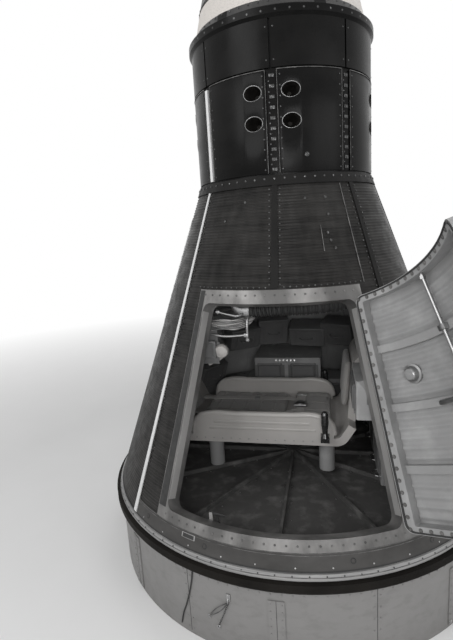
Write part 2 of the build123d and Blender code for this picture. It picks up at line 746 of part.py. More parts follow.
def cylinder_core():
    """Tube under the cylinder's panels, open behind each pair of thruster ports."""
    r1 = CORE_R - SEAT
    r0 = r1 - CORE_T
    tube = turned([(r1, CYLINDER_Z), (r1, CLAMP_Z), (r0, CLAMP_Z), (r0, CYLINDER_Z)])
    half = degrees((PORT_R + MOVE) / CORE_R)
    z0 = CYLINDER_Z + PORT_HEIGHTS[0] - PORT_R - MOVE
    z1 = CYLINDER_Z + PORT_HEIGHTS[-1] + PORT_R + MOVE
    outline = [(r1 + MOVE, z0), (r1 + MOVE, z1), (r0 - MOVE, z1), (r0 - MOVE, z0)]
    for quarter in PORT_QUARTERS:
        for az in (quarter - PORT_AZ, quarter + PORT_AZ):
            tube = tube - turned(outline, az - half, az + half)
    return tube


def cylinder_tier(z0, z1, half_gap):
    """One tier of smooth panels between upright seams."""
    half = degrees(half_gap / CYLINDER_R)
    outline = [(CORE_R, z0), (CYLINDER_R, z0), (CYLINDER_R, z1), (CORE_R, z1)]
    holes = [plane * Cylinder(PORT_R + SEAT, 2 * BEYOND) for plane in port_planes(CORE_R)]
    panels = []
    for i in range(SEAMS):
        panel = turned(outline, i * SEAM_STEP + half, (i + 1) * SEAM_STEP - half)
        panels.append(panel - Compound(holes))
    return Compound([solid for panel in panels for solid in panel.solids()])


def cylinder_seams():
    """Recessed strips between the lower panels."""
    half = degrees((SEAM_HALF_W - MOVE) / CORE_R)
    z0, z1 = CYLINDER_Z + SEAM_FOOT, CYLINDER_Z + TIER_Z - SEAM_END
    outline = [(CORE_R, z0), (CORE_R + STRIP_T, z0), (CORE_R + STRIP_T, z1), (CORE_R, z1)]
    return Compound([turned(outline, i * SEAM_STEP - half, i * SEAM_STEP + half) for i in range(SEAMS)])


def thrusters():
    """Bell nozzles in the ports, each with a lip that stands proud."""
    mouth = PORT_R - PORT_LIP
    outline = [
        (0, -NOZZLE_DEPTH - NOZZLE_T),
        (NOZZLE_THROAT_R + NOZZLE_T, -NOZZLE_DEPTH - NOZZLE_T),
        (PORT_R, -NOZZLE_T),
        (PORT_R, PORT_LIP_PROUD),
        (mouth, PORT_LIP_PROUD),
        (NOZZLE_THROAT_R, -NOZZLE_DEPTH),
        (0, -NOZZLE_DEPTH),
    ]
    bell = turned(outline)
    return Compound([plane * bell for plane in port_planes(CYLINDER_R)])


def clamp_ring():
    """Clamp ring round the cylinder's head, drilled for the escape tower's feet."""
    r0, r1 = CORE_R - CORE_T - SEAT, CYLINDER_R + CLAMP_PROUD
    outer = [(CYLINDER_R, CLAMP_Z), (r1, CLAMP_Z + CLAMP_PROUD), (r1, FAIRING_Z)]
    ring = turned([(r0, CLAMP_Z)] + outer + [(r0, FAIRING_Z)])
    spots = PolarLocations(CYLINDER_R - TOWER_BOLT_INSET, TOWER_BOLTS)
    return ring - [Pos(0, 0, FAIRING_Z) * spot * Cylinder(TOWER_BOLT_R, 2 * TOWER_BOLT_DEPTH) for spot in spots]


# Antenna fairing


def fairing_r(z):
    """Outer radius of the fairing at height z."""
    return FAIRING_BASE_R + (FAIRING_TOP_R - FAIRING_BASE_R) * (z - FAIRING_Z) / FAIRING_H


def fairing_part(z0, z1):
    """Ring of the fairing between two heights."""
    outline = [(fairing_r(z), z) for z in (z0, z1)] + [(fairing_r(z) - FAIRING_T, z) for z in (z1, z0)]
    return turned(outline)


def nose_cap():
    """Lid of the fairing, with a raised rim round the flap, and the ears and pins of the flap's hinge."""
    z0 = FAIRING_Z + FAIRING_H
    rim_r = FAIRING_TOP_R - NOSE_RIM_W
    face_z = z0 + NOSE_T / 2
    rim = [(FAIRING_TOP_R, z0), (FAIRING_TOP_R, z0 + NOSE_T), (rim_r, z0 + NOSE_T), (rim_r, face_z)]
    cap = turned([(0, z0)] + rim + [(0, face_z)])
    pin_z = face_z + FLAP_LIFT
    for y in (-FLAP_PIN_Y, FLAP_PIN_Y):
        cap = cap + Pos(0, y, pin_z) * Rot(90, 0, 0) * Cylinder(FLAP_PIN_R, FLAP_LUG_W + 2 * FLAP_T)
        for side in (-1, 1):
            y0 = y + side * (FLAP_LUG_W / 2 + FLAP_T)
            y1, z1 = y0 + FLAP_T / 2, pin_z + 2 * FLAP_PIN_R
            cap = cap + block(-2 * FLAP_PIN_R, 2 * FLAP_PIN_R, y1 - FLAP_T, y1, face_z, z1)
    return cap


def flap_axis():
    """Hinge of the flap that lies on the nose."""
    return Axis((0, 0, FAIRING_Z + FAIRING_H + NOSE_T / 2 + FLAP_LIFT), (0, -1, 0))


def nose_flap():
    """Half-round flap, folded flat on the nose."""
    z0 = FAIRING_Z + FAIRING_H + NOSE_T / 2 + FLAP_LIFT - FLAP_T / 2
    radius = FAIRING_TOP_R - NOSE_RIM_W - MOVE
    plate = turned([(0, z0), (radius, z0), (radius, z0 + FLAP_T), (0, z0 + FLAP_T)], 0, WHOLE_TURN / 2)
    plate = plate - block(-MOVE, 3 * FLAP_PIN_R, -radius, radius, z0 - FLAP_T, z0 + 2 * FLAP_T)
    barrel_z = z0 + FLAP_T / 2
    for y in (-FLAP_PIN_Y, FLAP_PIN_Y):
        barrel = Pos(0, y, barrel_z) * Rot(90, 0, 0) * Cylinder(2 * FLAP_PIN_R, FLAP_LUG_W)
        bridge = block(0, 4 * FLAP_PIN_R, y - FLAP_LUG_W / 2, y + FLAP_LUG_W / 2, z0, z0 + FLAP_T)
        bore = Pos(0, y, barrel_z) * Rot(90, 0, 0) * Cylinder(FLAP_PIN_R + RUN, 2 * FLAP_LUG_W)
        plate = plate + barrel + bridge - bore
    return plate


def horizon_scanners():
    """Round scanner heads on the fairing's side."""
    z = FAIRING_Z + SCANNER_UP
    low, high = z - 2 * SCANNER_R, z + 2 * SCANNER_R
    core = turned([(0, low), (fairing_r(low) + SEAT, low), (fairing_r(high) + SEAT, high), (0, high)])
    heads = [cylinder_plane(az, fairing_r(z), z) * Cylinder(SCANNER_R, 2 * SCANNER_PROUD) for az in SCANNER_AZ]
    return Compound([head - core for head in heads])


# Cabin


def cabin_floor():
    """Large bulkhead over the shield, with ribs."""
    r = FLOOR_R - SEAT
    disc = turned([(0, CONE_Z), (r, CONE_Z), (r, CONE_Z + FLOOR_T), (0, CONE_Z + FLOOR_T)])
    z0 = CONE_Z + FLOOR_T
    reach = r - FLOOR_RIB_END
    for i in range(FLOOR_RIBS):
        rib = block(-reach, reach, -FLOOR_RIB_W / 2, FLOOR_RIB_W / 2, z0, z0 + FLOOR_RIB_H)
        disc = disc + Rot(0, 0, i * WHOLE_TURN / 2 / FLOOR_RIBS) * rib
    return disc


def top_bulkhead():
    """Small bulkhead over the cabin."""
    r = inner_r(BULKHEAD_Z + BULKHEAD_T) - SEAT
    z1 = BULKHEAD_Z + BULKHEAD_T
    return turned([(0, BULKHEAD_Z), (r, BULKHEAD_Z), (r, z1), (0, z1)])


def side_outline(points, thick):
    """Band of a given thickness along a path in the side view, its corners rounded."""
    path = FilletPolyline(*[(x, COUCH_BACK_Z + rise) for x, rise in points], radius=COUCH_BEND)
    return Plane.XZ * trace(path, line_width=thick)


def across(face, y0, y1):
    """Prism of a face in the XZ plane between two values of Y."""
    return Pos(0, y1, 0) * extrude(face, y1 - y0, dir=(0, -1, 0))


# Side view of the couch's torso and leg parts: place along X, height over the back
TORSO_PATH = (
    (COUCH_HEAD_X - HEAD_REST_RUN, HEAD_REST_RISE),
    (COUCH_HEAD_X, 0.0),
    (COUCH_HIP_X, 0.0),
    (COUCH_HIP_X + HIP_RUN, HIP_RISE),
)
LEG_PATH = (
    (COUCH_HIP_X, 0.0),
    (COUCH_HIP_X + HIP_RUN, HIP_RISE),
    (KNEE_X, KNEE_RISE),
    (CALF_X, CALF_RISE),
    (CALF_X + FOOT_RUN, CALF_RISE + FOOT_RISE),
)


def couch_shell():
    """Contour couch: head, back, seat, thighs and calves, with a raised cheek each side."""
    shell = across(side_outline(TORSO_PATH, COUCH_T), -COUCH_HALF_W, COUCH_HALF_W)
    shell = shell + across(side_outline(LEG_PATH, COUCH_T), -LEG_HALF_W, LEG_HALF_W)
    cheek_z = COUCH_BACK_Z + CHEEK_H
    for side in (-1, 1):
        y0, y1 = sorted((side * COUCH_HALF_W, side * (COUCH_HALF_W - CHEEK_T)))
        cheek = block(CHEEK_X0, CHEEK_X1, y0, y1, COUCH_BACK_Z, cheek_z)
        corners = cheek.edges().filter_by(Axis.Y).sort_by(Axis.Z)[-2:]
        shell = shell + fillet(corners, CHEEK_CORNER_R)
    return shell


def couch_legs():
    """Honeycomb blocks and struts that hold the couch off the floor."""
    top = COUCH_BACK_Z - COUCH_T / 2 - SEAT
    pieces = []
    for x in COUCH_LEG_X:
        for y in (-COUCH_LEG_Y, COUCH_LEG_Y):
            pieces.append(Pos(x, y, (top + DECK_Z) / 2) * Cylinder(COUCH_LEG_R, top - DECK_Z))
    return Compound(pieces)


def couch_pads():
    """Back and seat pads on the couch."""
    half = COUCH_HALF_W - CHEEK_T - MOVE
    z0 = COUCH_BACK_Z + COUCH_T / 2 + SEAT
    pads = []
    for x0, x1, thick in PADS:
        pad = block(x0, x1, -half, half, z0, z0 + thick)
        pads.append(fillet(pad.edges().filter_by(Axis.Z), PAD_CORNER_R))
    return Compound(pads)


def hand_controllers():
    """Grip on each side of the couch, on an arm from its cheek."""
    arm_z = COUCH_BACK_Z + CONTROL_ARM_UP
    x0, x1 = CONTROL_X - CONTROL_ARM_HALF, CONTROL_X + CONTROL_ARM_HALF
    y0, y1 = COUCH_HALF_W + SEAT, COUCH_HALF_W + CONTROL_ARM_REACH
    arm = block(x0, x1, y0, y1, arm_z, arm_z + CONTROL_ARM_T)
    grip = turned(
        [
            (0, 0),
            (GRIP_FOOT_R, 0),
            (GRIP_NECK_R, GRIP_FOOT_R),
            (GRIP_R, GRIP_H / 2),
            (GRIP_R, GRIP_H - GRIP_NECK_R),
            (GRIP_NECK_R, GRIP_H),
            (0, GRIP_H),
        ]
    )
    right = arm + Pos(CONTROL_X, COUCH_HALF_W + GRIP_ASIDE, arm_z + CONTROL_ARM_T) * grip
    return Compound([right, mirror(right, Plane.XZ)])


def panel_plane():
    """Plane of the instrument panel, its z down to the occupant."""
    tilt = radians(PANEL_TILT)
    return Plane(origin=(PANEL_X, 0, PANEL_Z), x_dir=(0, 1, 0), z_dir=(-sin(tilt), 0, -cos(tilt)))


def instrument_panel():
    """Main panel over the occupant, with its side wings and a cut-out for the periscope's screen."""
    plane = panel_plane()
    board = RectangleRounded(2 * PANEL_HALF_W, PANEL_L, PANEL_CORNER_R)
    board = board - Pos(0, SCREEN_Y) * Circle(SCREEN_R + SEAT)
    return plane * Pos(0, 0, -PANEL_BOARD_T) * extrude(board, PANEL_BOARD_T)


def instrument_case():
    """Shallow case behind the panel, carried by the wall brackets."""
    plane = panel_plane()
    case = RectangleRounded(2 * (PANEL_HALF_W - CASE_INSET), PANEL_L - 2 * CASE_INSET, PANEL_CORNER_R)
    case = case - Pos(0, SCREEN_Y) * Circle(SCREEN_R + SEAT)
    return plane * Pos(0, 0, -PANEL_BOARD_T - CASE_D - SEAT) * extrude(case, CASE_D)


# Round instruments on the panel: place across, place along, radius
DIALS = (
    (-260.0, 110.0, 42.0),
    (-160.0, 120.0, 42.0),
    (-260.0, 10.0, 36.0),
    (-170.0, 20.0, 36.0),
    (260.0, 110.0, 42.0),
    (160.0, 120.0, 42.0),
    (260.0, 10.0, 36.0),
    (170.0, 20.0, 36.0),
    (0.0, 110.0, 56.0),
    (-240.0, -90.0, 30.0),
    (240.0, -90.0, 30.0),
)


def instrument_dials():
    """Bezels of the round instruments."""
    plane = panel_plane()
    return Compound([plane * Pos(x, y, DIAL_H / 2) * Cylinder(r, DIAL_H) for x, y, r in DIALS])


def scope_screen():
    """Periscope's round screen and its tube, which goes up through the case."""
    depth = PANEL_BOARD_T + SEAT + CASE_D + SCREEN_TUBE_OUT
    tube = Pos(0, SCREEN_Y, (DIAL_H - depth) / 2) * Cylinder(SCREEN_R, DIAL_H + depth)
    return panel_plane() * tube


# Consoles and equipment: name, lower corner and upper corner
EQUIPMENT = (
    ("left_console", (-250.0, 330.0, 640.0), (150.0, 700.0, 800.0)),
    ("right_console", (300.0, -560.0, 800.0), (600.0, -300.0, 960.0)),
    ("equipment_rack", (-330.0, 480.0, DECK_Z), (330.0, 660.0, 620.0)),
    ("oxygen_unit", (420.0, -330.0, DECK_Z), (640.0, 330.0, 560.0)),
)


def cabin_space(z0, z1):
    """What the cone's walls leave free between two heights, a hair's breadth off them."""
    return turned([(0, z0), (inner_r(z0) - SEAT, z0), (inner_r(z1) - SEAT, z1), (0, z1)])


def equipment():
    """Cased units of the cabin, shaped to the wall where they meet it."""
    for name, low, high in EQUIPMENT:
        case = block(low[0], high[0], low[1], high[1], low[2], high[2])
        case = fillet(case.edges().filter_by(Axis.Z), CASE_EDGE_R)
        yield name, case & cabin_space(low[2] - MOVE, high[2] + MOVE)


def panel_brackets():
    """Shelf on each side that carries the instrument case from the wall."""
    y0 = PANEL_HALF_W - CASE_INSET + SEAT
    x0, x1 = PANEL_X - BRACKET_W / 2, PANEL_X + BRACKET_W / 2
    shelf = block(x0, x1, y0, inner_r(BRACKET_Z), BRACKET_Z, BRACKET_Z + BRACKET_T)
    shelf = shelf & cabin_space(BRACKET_Z - MOVE, BRACKET_Z + BRACKET_T + MOVE)
    return Compound([shelf, mirror(shelf, Plane.XZ)])


def main():
    os.makedirs("parts", exist_ok=True)
    band_z = FAIRING_Z + BAND_Z
    lower_tier = CYLINDER_Z + SEAM_FOOT, CYLINDER_Z + TIER_Z - TIER_GAP / 2
    upper_tier = CYLINDER_Z + TIER_Z + TIER_GAP / 2, CLAMP_Z
    nodes = {
        "heat_shield": heat_shield(),
        "adapter_ring": adapter_ring(),
        "adapter_flange": adapter_flange(),
        "adapter_stiffener": adapter_stiffener(),
        "adapter_splices": adapter_splices(),
        "base_ring": base_ring(),
        "sill": sill(),
        "hatch_frame": hatch_frame(),
        "top_ring": top_ring(),
        "cone_battens": cone_battens(),
        "side_strip": side_strip(),
        "cylinder_core": cylinder_core(),
        "cylinder_panels_lower": cylinder_tier(*lower_tier, SEAM_HALF_W),
        "cylinder_panels_upper": cylinder_tier(*upper_tier, UPPER_SEAM_HALF_W),
        "cylinder_seams": cylinder_seams(),
        "thrusters": thrusters(),
        "clamp_ring": clamp_ring(),
        "dielectric_band": fairing_part(band_z, band_z + BAND_H),
        "fairing_rings": Compound(
            [fairing_part(FAIRING_Z, band_z), fairing_part(band_z + BAND_H, FAIRING_Z + FAIRING_H)]
        ),
        "nose_cap": nose_cap(),
        "nose_flap": nose_flap(),
        "horizon_scanners": horizon_scanners(),
        "hatch_skin": swung(hatch_skin()),
        "hatch_edge": swung(hatch_edge()),
        "hatch_beams": swung(hatch_beams()),
        "hatch_handle": swung(hatch_handle()),
        "hatch_hinges": swung(hatch_hinges()),
        "jamb_hinges": jamb_hinges(),
        "window_frame": window_frame(),
        "window_glass": window_glass(),
        "scope_door": scope_door(),
        "scope_pins": scope_pins(),
        "scope_head": scope_head(),
        "cabin_floor": cabin_floor(),
        "top_bulkhead": top_bulkhead(),
        "couch_shell": couch_shell(),
        "couch_legs": couch_legs(),
        "couch_pads": couch_pads(),
        "hand_controllers": hand_controllers(),
        "instrument_panel": instrument_panel(),
        "instrument_case": instrument_case(),
        "instrument_dials": instrument_dials(),
        "panel_brackets": panel_brackets(),
        "scope_screen": scope_screen(),
    }
    nodes.update(wall_panels())
    nodes.update(equipment())
    for name, shape in nodes.items():
        export_step(shape, f"parts/{name}.step")
    for name, axis in (("hatch", hinge_axis()), ("periscope door", scope_axis()), ("flap", flap_axis())):
        print(name, "axis through", axis.position, "along", axis.direction)


if __name__ == "__main__":
    main()
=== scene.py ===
import json
import math
from math import cos, pi, radians, sin, tan

import bpy
from mathutils import Matrix, Vector


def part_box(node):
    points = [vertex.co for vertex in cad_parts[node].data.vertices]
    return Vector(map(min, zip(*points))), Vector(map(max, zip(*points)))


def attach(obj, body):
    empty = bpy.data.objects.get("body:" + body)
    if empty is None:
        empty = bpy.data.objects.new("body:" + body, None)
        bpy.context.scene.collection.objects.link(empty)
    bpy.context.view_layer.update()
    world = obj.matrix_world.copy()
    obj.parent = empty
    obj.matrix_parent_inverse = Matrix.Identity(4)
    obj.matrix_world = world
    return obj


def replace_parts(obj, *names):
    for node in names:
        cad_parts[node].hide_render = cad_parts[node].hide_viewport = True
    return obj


bl_info = {
    "name": "Space capsule looks",
    "version": (1, 0, 0),
    "blender": (4, 5, 0),
    "location": "View3D > Sidebar > Capsule",
    "description": "Builds the skins, fasteners, cabin and finishes of a one-man space capsule",
    "category": "Object",
}

# Metres throughout, Z up. An azimuth of 0 is -Y, where the hatch is, and grows towards +X.
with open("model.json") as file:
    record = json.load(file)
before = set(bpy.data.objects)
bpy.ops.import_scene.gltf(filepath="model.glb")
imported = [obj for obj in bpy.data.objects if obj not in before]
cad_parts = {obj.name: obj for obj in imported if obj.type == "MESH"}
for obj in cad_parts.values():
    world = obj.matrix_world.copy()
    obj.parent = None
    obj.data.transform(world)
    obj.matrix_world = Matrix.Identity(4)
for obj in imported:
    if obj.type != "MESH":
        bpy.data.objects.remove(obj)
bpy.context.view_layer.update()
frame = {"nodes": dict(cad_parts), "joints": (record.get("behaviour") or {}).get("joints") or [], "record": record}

# Body: heights come from the frame, radii from the driving sizes of the capsule
HALF_ANGLE = radians(20.0)
CYLINDER_R = 0.4064
PANEL_T = 0.008
WALL_T = 0.060
SEAT = 0.0003
SEAM_STEP = 45.0
CYLINDER_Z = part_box("cylinder_core")[0].z
CLAMP_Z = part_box("cylinder_core")[1].z
WALL_Z0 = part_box("sill")[0].z
WALL_Z1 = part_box("top_ring")[0].z
FRAME_Z0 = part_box("hatch_frame")[0].z
FRAME_Z1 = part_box("lintel_left")[0].z
RING_TOP_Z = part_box("adapter_splices")[1].z
HATCH_AZ = 31.0
FRAME_AZ = 34.4
HATCH_Z0 = 0.479
HATCH_Z1 = 1.279
HATCH_GAP = 0.005
HATCH_SKIN_T = 0.012
HATCH_CORNER_R = 0.030
TIER_Z = CYLINDER_Z + 0.397
SEAM_HALF_W = 0.0225
PORT_AZ = 10.8
CORE_R = CYLINDER_R - PANEL_T

# Window and periscope openings of the cone
WINDOW_AZ = -90.0
WINDOW_Z0 = 1.150
WINDOW_H = 0.470
WINDOW_FOOT_HALF = 0.170
WINDOW_HEAD_HALF = 0.122
WINDOW_CORNER_R = 0.058
WINDOW_CUT_DEPTH = 0.16
SCOPE_AZ = 90.0
SCOPE_Z0 = 0.760
SCOPE_H = 0.240
SCOPE_HALF_W = 0.125
SCOPE_CORNER_R = 0.025
SCOPE_RECESS = 0.044

# Camera at the photograph's angle
CAMERA_PLACE = (0.2048, -2.2985, 1.5557)
CAMERA_YAW = 13.12
CAMERA_PITCH = 10.82
CAMERA_ROLL = 3.618
CAMERA_LENS = 25.3125

SLOPE = tan(HALF_ANGLE)
Z_AXIS = Vector((0, 0, 1))


# Places on the body


def polar(az, r, z):
    """Point at an azimuth, a radius and a height."""
    return Vector((r * sin(radians(az)), -r * cos(radians(az)), z))


def cone_r(z):
    """Outer radius of the cone at a height."""
    return CYLINDER_R + (CYLINDER_Z - z) * SLOPE


def skin(z, depth=0.0):
    """(r, z) of the point that lies depth under the cone's skin, from the skin's height z."""
    return cone_r(z) - depth * cos(HALF_ANGLE), z - depth * sin(HALF_ANGLE)


def inner_r(z):
    """Radius of the cone's inner face."""
    return cone_r(z) - WALL_T / cos(HALF_ANGLE)


def basis(x, y, z, origin):
    """Matrix with the given columns."""
    matrix = Matrix.Identity(4)
    for i, column in enumerate((x, y, z, origin)):
        for j in range(3):
            matrix[j][i] = column[j]
    return matrix


def shift(x, y, z):
    return Matrix.Translation((x, y, z))


def rotation(axis, angle):
    """Matrix of a turn about an axis, in degrees."""
    return Matrix.Rotation(radians(angle), 4, axis)


def on_cone(az, z, lift=0.0):
    """Frame on the cone's skin: x round the body, y up the slope, z outwards."""
    a = radians(az)
    x = Vector((cos(a), sin(a), 0))
    out = Vector((cos(HALF_ANGLE) * sin(a), -cos(HALF_ANGLE) * cos(a), sin(HALF_ANGLE)))
    return basis(x, out.cross(x), out, polar(az, cone_r(z), z) + out * lift)


def on_wall(az, r, z):
    """Frame on an upright round wall: x round the body, y up, z outwards."""
    a = radians(az)
    out = Vector((sin(a), -cos(a), 0))
    return basis(Vector((cos(a), sin(a), 0)), Z_AXIS, out, polar(az, r, z))


def hatch_swing():
    """Matrix that takes a piece of the hatch from shut to its place at rest."""
    joint = next(j for j in frame["joints"] if j["name"] == "hatch_hinge")
    pin = Vector(joint["pos_m"])
    turn = Matrix.Rotation(radians(-joint["range_deg"][0]), 4, Vector(joint["axis"]))
    return Matrix.Translation(pin) @ turn @ Matrix.Translation(-pin)


# Modelling


def object_mode():
    if bpy.context.mode != "OBJECT":
        bpy.ops.object.mode_set(mode="OBJECT")


def edit_mode():
    if bpy.context.mode != "EDIT_MESH":
        bpy.ops.object.mode_set(mode="EDIT")


def alone(piece):
    """Make a piece the only selected one, and the active one."""
    object_mode()
    bpy.ops.object.select_all(action="DESELECT")
    piece.select_set(True)
    bpy.context.view_layer.objects.active = piece
    return piece


def fresh():
    """The object that an operator has just added."""
    return bpy.context.active_object


def clear():
    """Deselect everything before a primitive is added."""
    object_mode()
    bpy.ops.object.select_all(action="DESELECT")


def pick(piece, mode, test):
    """Select the elements of a piece that pass a test, and stay in edit mode."""
    alone(piece)
    edit_mode()
    bpy.ops.mesh.select_mode(type=mode)
    bpy.ops.mesh.select_all(action="DESELECT")
    object_mode()
    mesh = piece.data
    for element in {"VERT": mesh.vertices, "EDGE": mesh.edges, "FACE": mesh.polygons}[mode]:
        element.select = test(element)
    edit_mode()


def ends(piece, edge):
    """The two ends of an edge."""
    return [piece.data.vertices[i].co for i in edge.vertices]


def settled(piece, matrix=None):
    """Put a piece in its place, and keep the place in its mesh."""
    alone(piece)
    if matrix is not None:
        piece.matrix_world = matrix @ piece.matrix_world
    bpy.ops.object.transform_apply(location=True, rotation=True, scale=True)
    return piece


def modified(piece, kind, **settings):
    """Add a modifier and apply it."""
    alone(piece)
    modifier = piece.modifiers.new(kind.lower(), kind)
    for key, value in settings.items():
        setattr(modifier, key, value)
    bpy.ops.object.modifier_apply(modifier=modifier.name)
    return piece


def bevelled(piece, width, segments=2, angle=30.0):
    return modified(
        piece, "BEVEL", width=width, segments=segments, limit_method="ANGLE", angle_limit=radians(angle)
    )


def smooth(piece, angle=35.0):
    alone(piece)
    bpy.ops.object.shade_smooth_by_angle(angle=radians(angle))
    return piece


def copied(piece, matrix):
    """Copy of a piece with its own mesh, moved by a matrix."""
    twin = piece.copy()
    twin.data = piece.data.copy()
    twin.data.transform(matrix)
    bpy.context.scene.collection.objects.link(twin)
    return twin


def joined(pieces):
    """One piece made of several."""
    if len(pieces) == 1:
        return pieces[0]
    alone(pieces[0])
    for piece in pieces:
        piece.select_set(True)
    bpy.ops.object.join()
    return fresh()


def spread(pattern, places):
    """Copies of a pattern at many places, joined; the pattern itself is used up."""
    piece = joined([copied(pattern, matrix) for matrix in places])
    bpy.data.objects.remove(pattern)
    return piece


def cut_by(piece, cutter, operation="DIFFERENCE"):
    """Boolean with a cutter that is used up."""
    modified(piece, "BOOLEAN", object=cutter, operation=operation, solver="EXACT")
    bpy.data.objects.remove(cutter)
    return piece


def drawn(points, closed=True):
    """Chain of edges through points, drawn by extruding one vertex."""
    clear()
    bpy.ops.mesh.primitive_plane_add(size=0.01, location=points[0])
    piece = fresh()
    edit_mode()
    bpy.ops.mesh.select_mode(type="VERT")
    bpy.ops.mesh.merge(type="CENTER")
    for here, there in zip(points, points[1:]):
        bpy.ops.mesh.extrude_region_move(TRANSFORM_OT_translate={"value": Vector(there) - Vector(here)})
    if closed:
        bpy.ops.mesh.select_all(action="SELECT")
        bpy.ops.mesh.edge_face_add()
    return settled(piece)


def spun(piece, turn, steps):
    """Turn an outline about the capsule's axis, and close its ends."""
    alone(piece)
    edit_mode()
    bpy.ops.mesh.select_all(action="SELECT")
    bpy.ops.mesh.delete(type="ONLY_FACE")
    bpy.ops.mesh.select_all(action="SELECT")
    bpy.ops.mesh.spin(steps=steps, angle=-radians(turn), center=(0, 0, 0), axis=(0, 0, 1))
    bpy.ops.mesh.select_all(action="SELECT")
    bpy.ops.mesh.remove_doubles(threshold=1e-6)
    if turn < 360:
        bpy.ops.mesh.fill_holes(sides=0)
    bpy.ops.mesh.select_all(action="SELECT")
    bpy.ops.mesh.normals_make_consistent(inside=False)
    object_mode()
    return piece


def lathe(outline, az0=0.0, az1=360.0, steps=None):
    """Solid of revolution of a closed (r, z) outline between two azimuths."""
    turn = az1 - az0
    return spun(drawn([polar(az0, r, z) for r, z in outline]), turn, steps or max(2, round(turn / 3)))


def cone_patch(az0, az1, z0, z1, low, high, steps=None):
    """Flat piece on the cone between two azimuths, two heights and two lifts over the skin."""
    return lathe([skin(z0, -low), skin(z1, -low), skin(z1, -high), skin(z0, -high)], az0, az1, steps)


def cone_strip(az, half_w, z0, z1, low, high, steps):
    """Flat strip down the cone, between two lifts over the skin."""
    half = math.degrees(half_w / cone_r((z0 + z1) / 2))
    return cone_patch(az - half, az + half, z0, z1, low, high, steps)


def wall_patch(az0, az1, z0, z1, r0, r1, steps=None):
    """Upright curved block between two azimuths, two heights and two radii."""
    return lathe([(r0, z0), (r1, z0), (r1, z1), (r0, z1)], az0, az1, steps)


def block(size, at=(0, 0, 0)):
    """Box of a size, centred at a place."""
    clear()
    bpy.ops.mesh.primitive_cube_add(size=1, location=at)
    fresh().scale = size
    return settled(fresh())


def rod(radius, length, vertices=16):
    """Round bar along z, from zero up."""
    clear()
    bpy.ops.mesh.primitive_cylinder_add(
        vertices=vertices, radius=radius, depth=length, location=(0, 0, length / 2)
    )
    return settled(fresh())


def dome_head(radius, height, segments=12):
    """Domed rivet or screw head that sits on z = 0."""
    piece = rod(radius, height, segments)
    pick(piece, "FACE", lambda face: face.normal.z > 0.9)
    bpy.ops.mesh.inset(thickness=radius * 0.35, depth=height * 0.3)
    object_mode()
    return smooth(piece, 50)


def hex_bolt(radius, height):
    """Hexagon head on a washer."""
    head = rod(radius, height, 6)
    bevelled(head, radius * 0.12, 1)
    washer = rod(radius * 1.35, height * 0.25)
    return smooth(joined([head, washer]), 30)


def slotted_screw(radius, height):
    """Flat round screw head with a slot across it."""
    piece = bevelled(rod(radius, height), height * 0.4, 1, 60)
    cutter = block((radius * 3, radius * 0.3, height), (0, 0, height))
    return smooth(cut_by(piece, cutter), 30)


def curved(points):
    """Smooth curve through points."""
    clear()
    bpy.ops.curve.primitive_bezier_curve_add()
    curve = fresh()
    spline = curve.data.splines[0]
    spline.bezier_points.add(len(points) - 2)
    for knot, point in zip(spline.bezier_points, points):
        knot.co = point
        knot.handle_left_type = knot.handle_right_type = "AUTO"
    curve.matrix_world = Matrix.Identity(4)
    return curve


def pipe(points, radius, sides=3):
    """Bent tube through points, its ends closed."""
    curve = curved(points).data
    curve.resolution_u = 8
    curve.bevel_depth = radius
    curve.bevel_resolution = sides
    curve.use_fill_caps = True
    bpy.ops.object.convert(target="MESH")
    return smooth(fresh(), 60)


def finished(piece, name, slot, finish=None, body="capsule"):
    """Name a piece, give it its slot's finish or one of its own, and let it ride."""
    piece.name = piece.data.name = name
    if not piece.data.materials:
        piece.data.materials.append(None)
    piece.data.materials[0] = finish_of(finish or slot)
    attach(piece, body)
    return piece


# Finishes


class Value:
    """A socket that Python's operators work on."""

    def __init__(self, finish, socket):
        self.finish = finish
        self.socket = socket

    def __add__(self, other):
        return self.finish.maths("ADD", self, other)

    def __sub__(self, other):
        return self.finish.maths("SUBTRACT", self, other)

    def __rsub__(self, other):
        return self.finish.maths("SUBTRACT", other, self)

    def __mul__(self, other):
        return self.finish.maths("MULTIPLY", self, other)

    __radd__ = __add__
    __rmul__ = __mul__


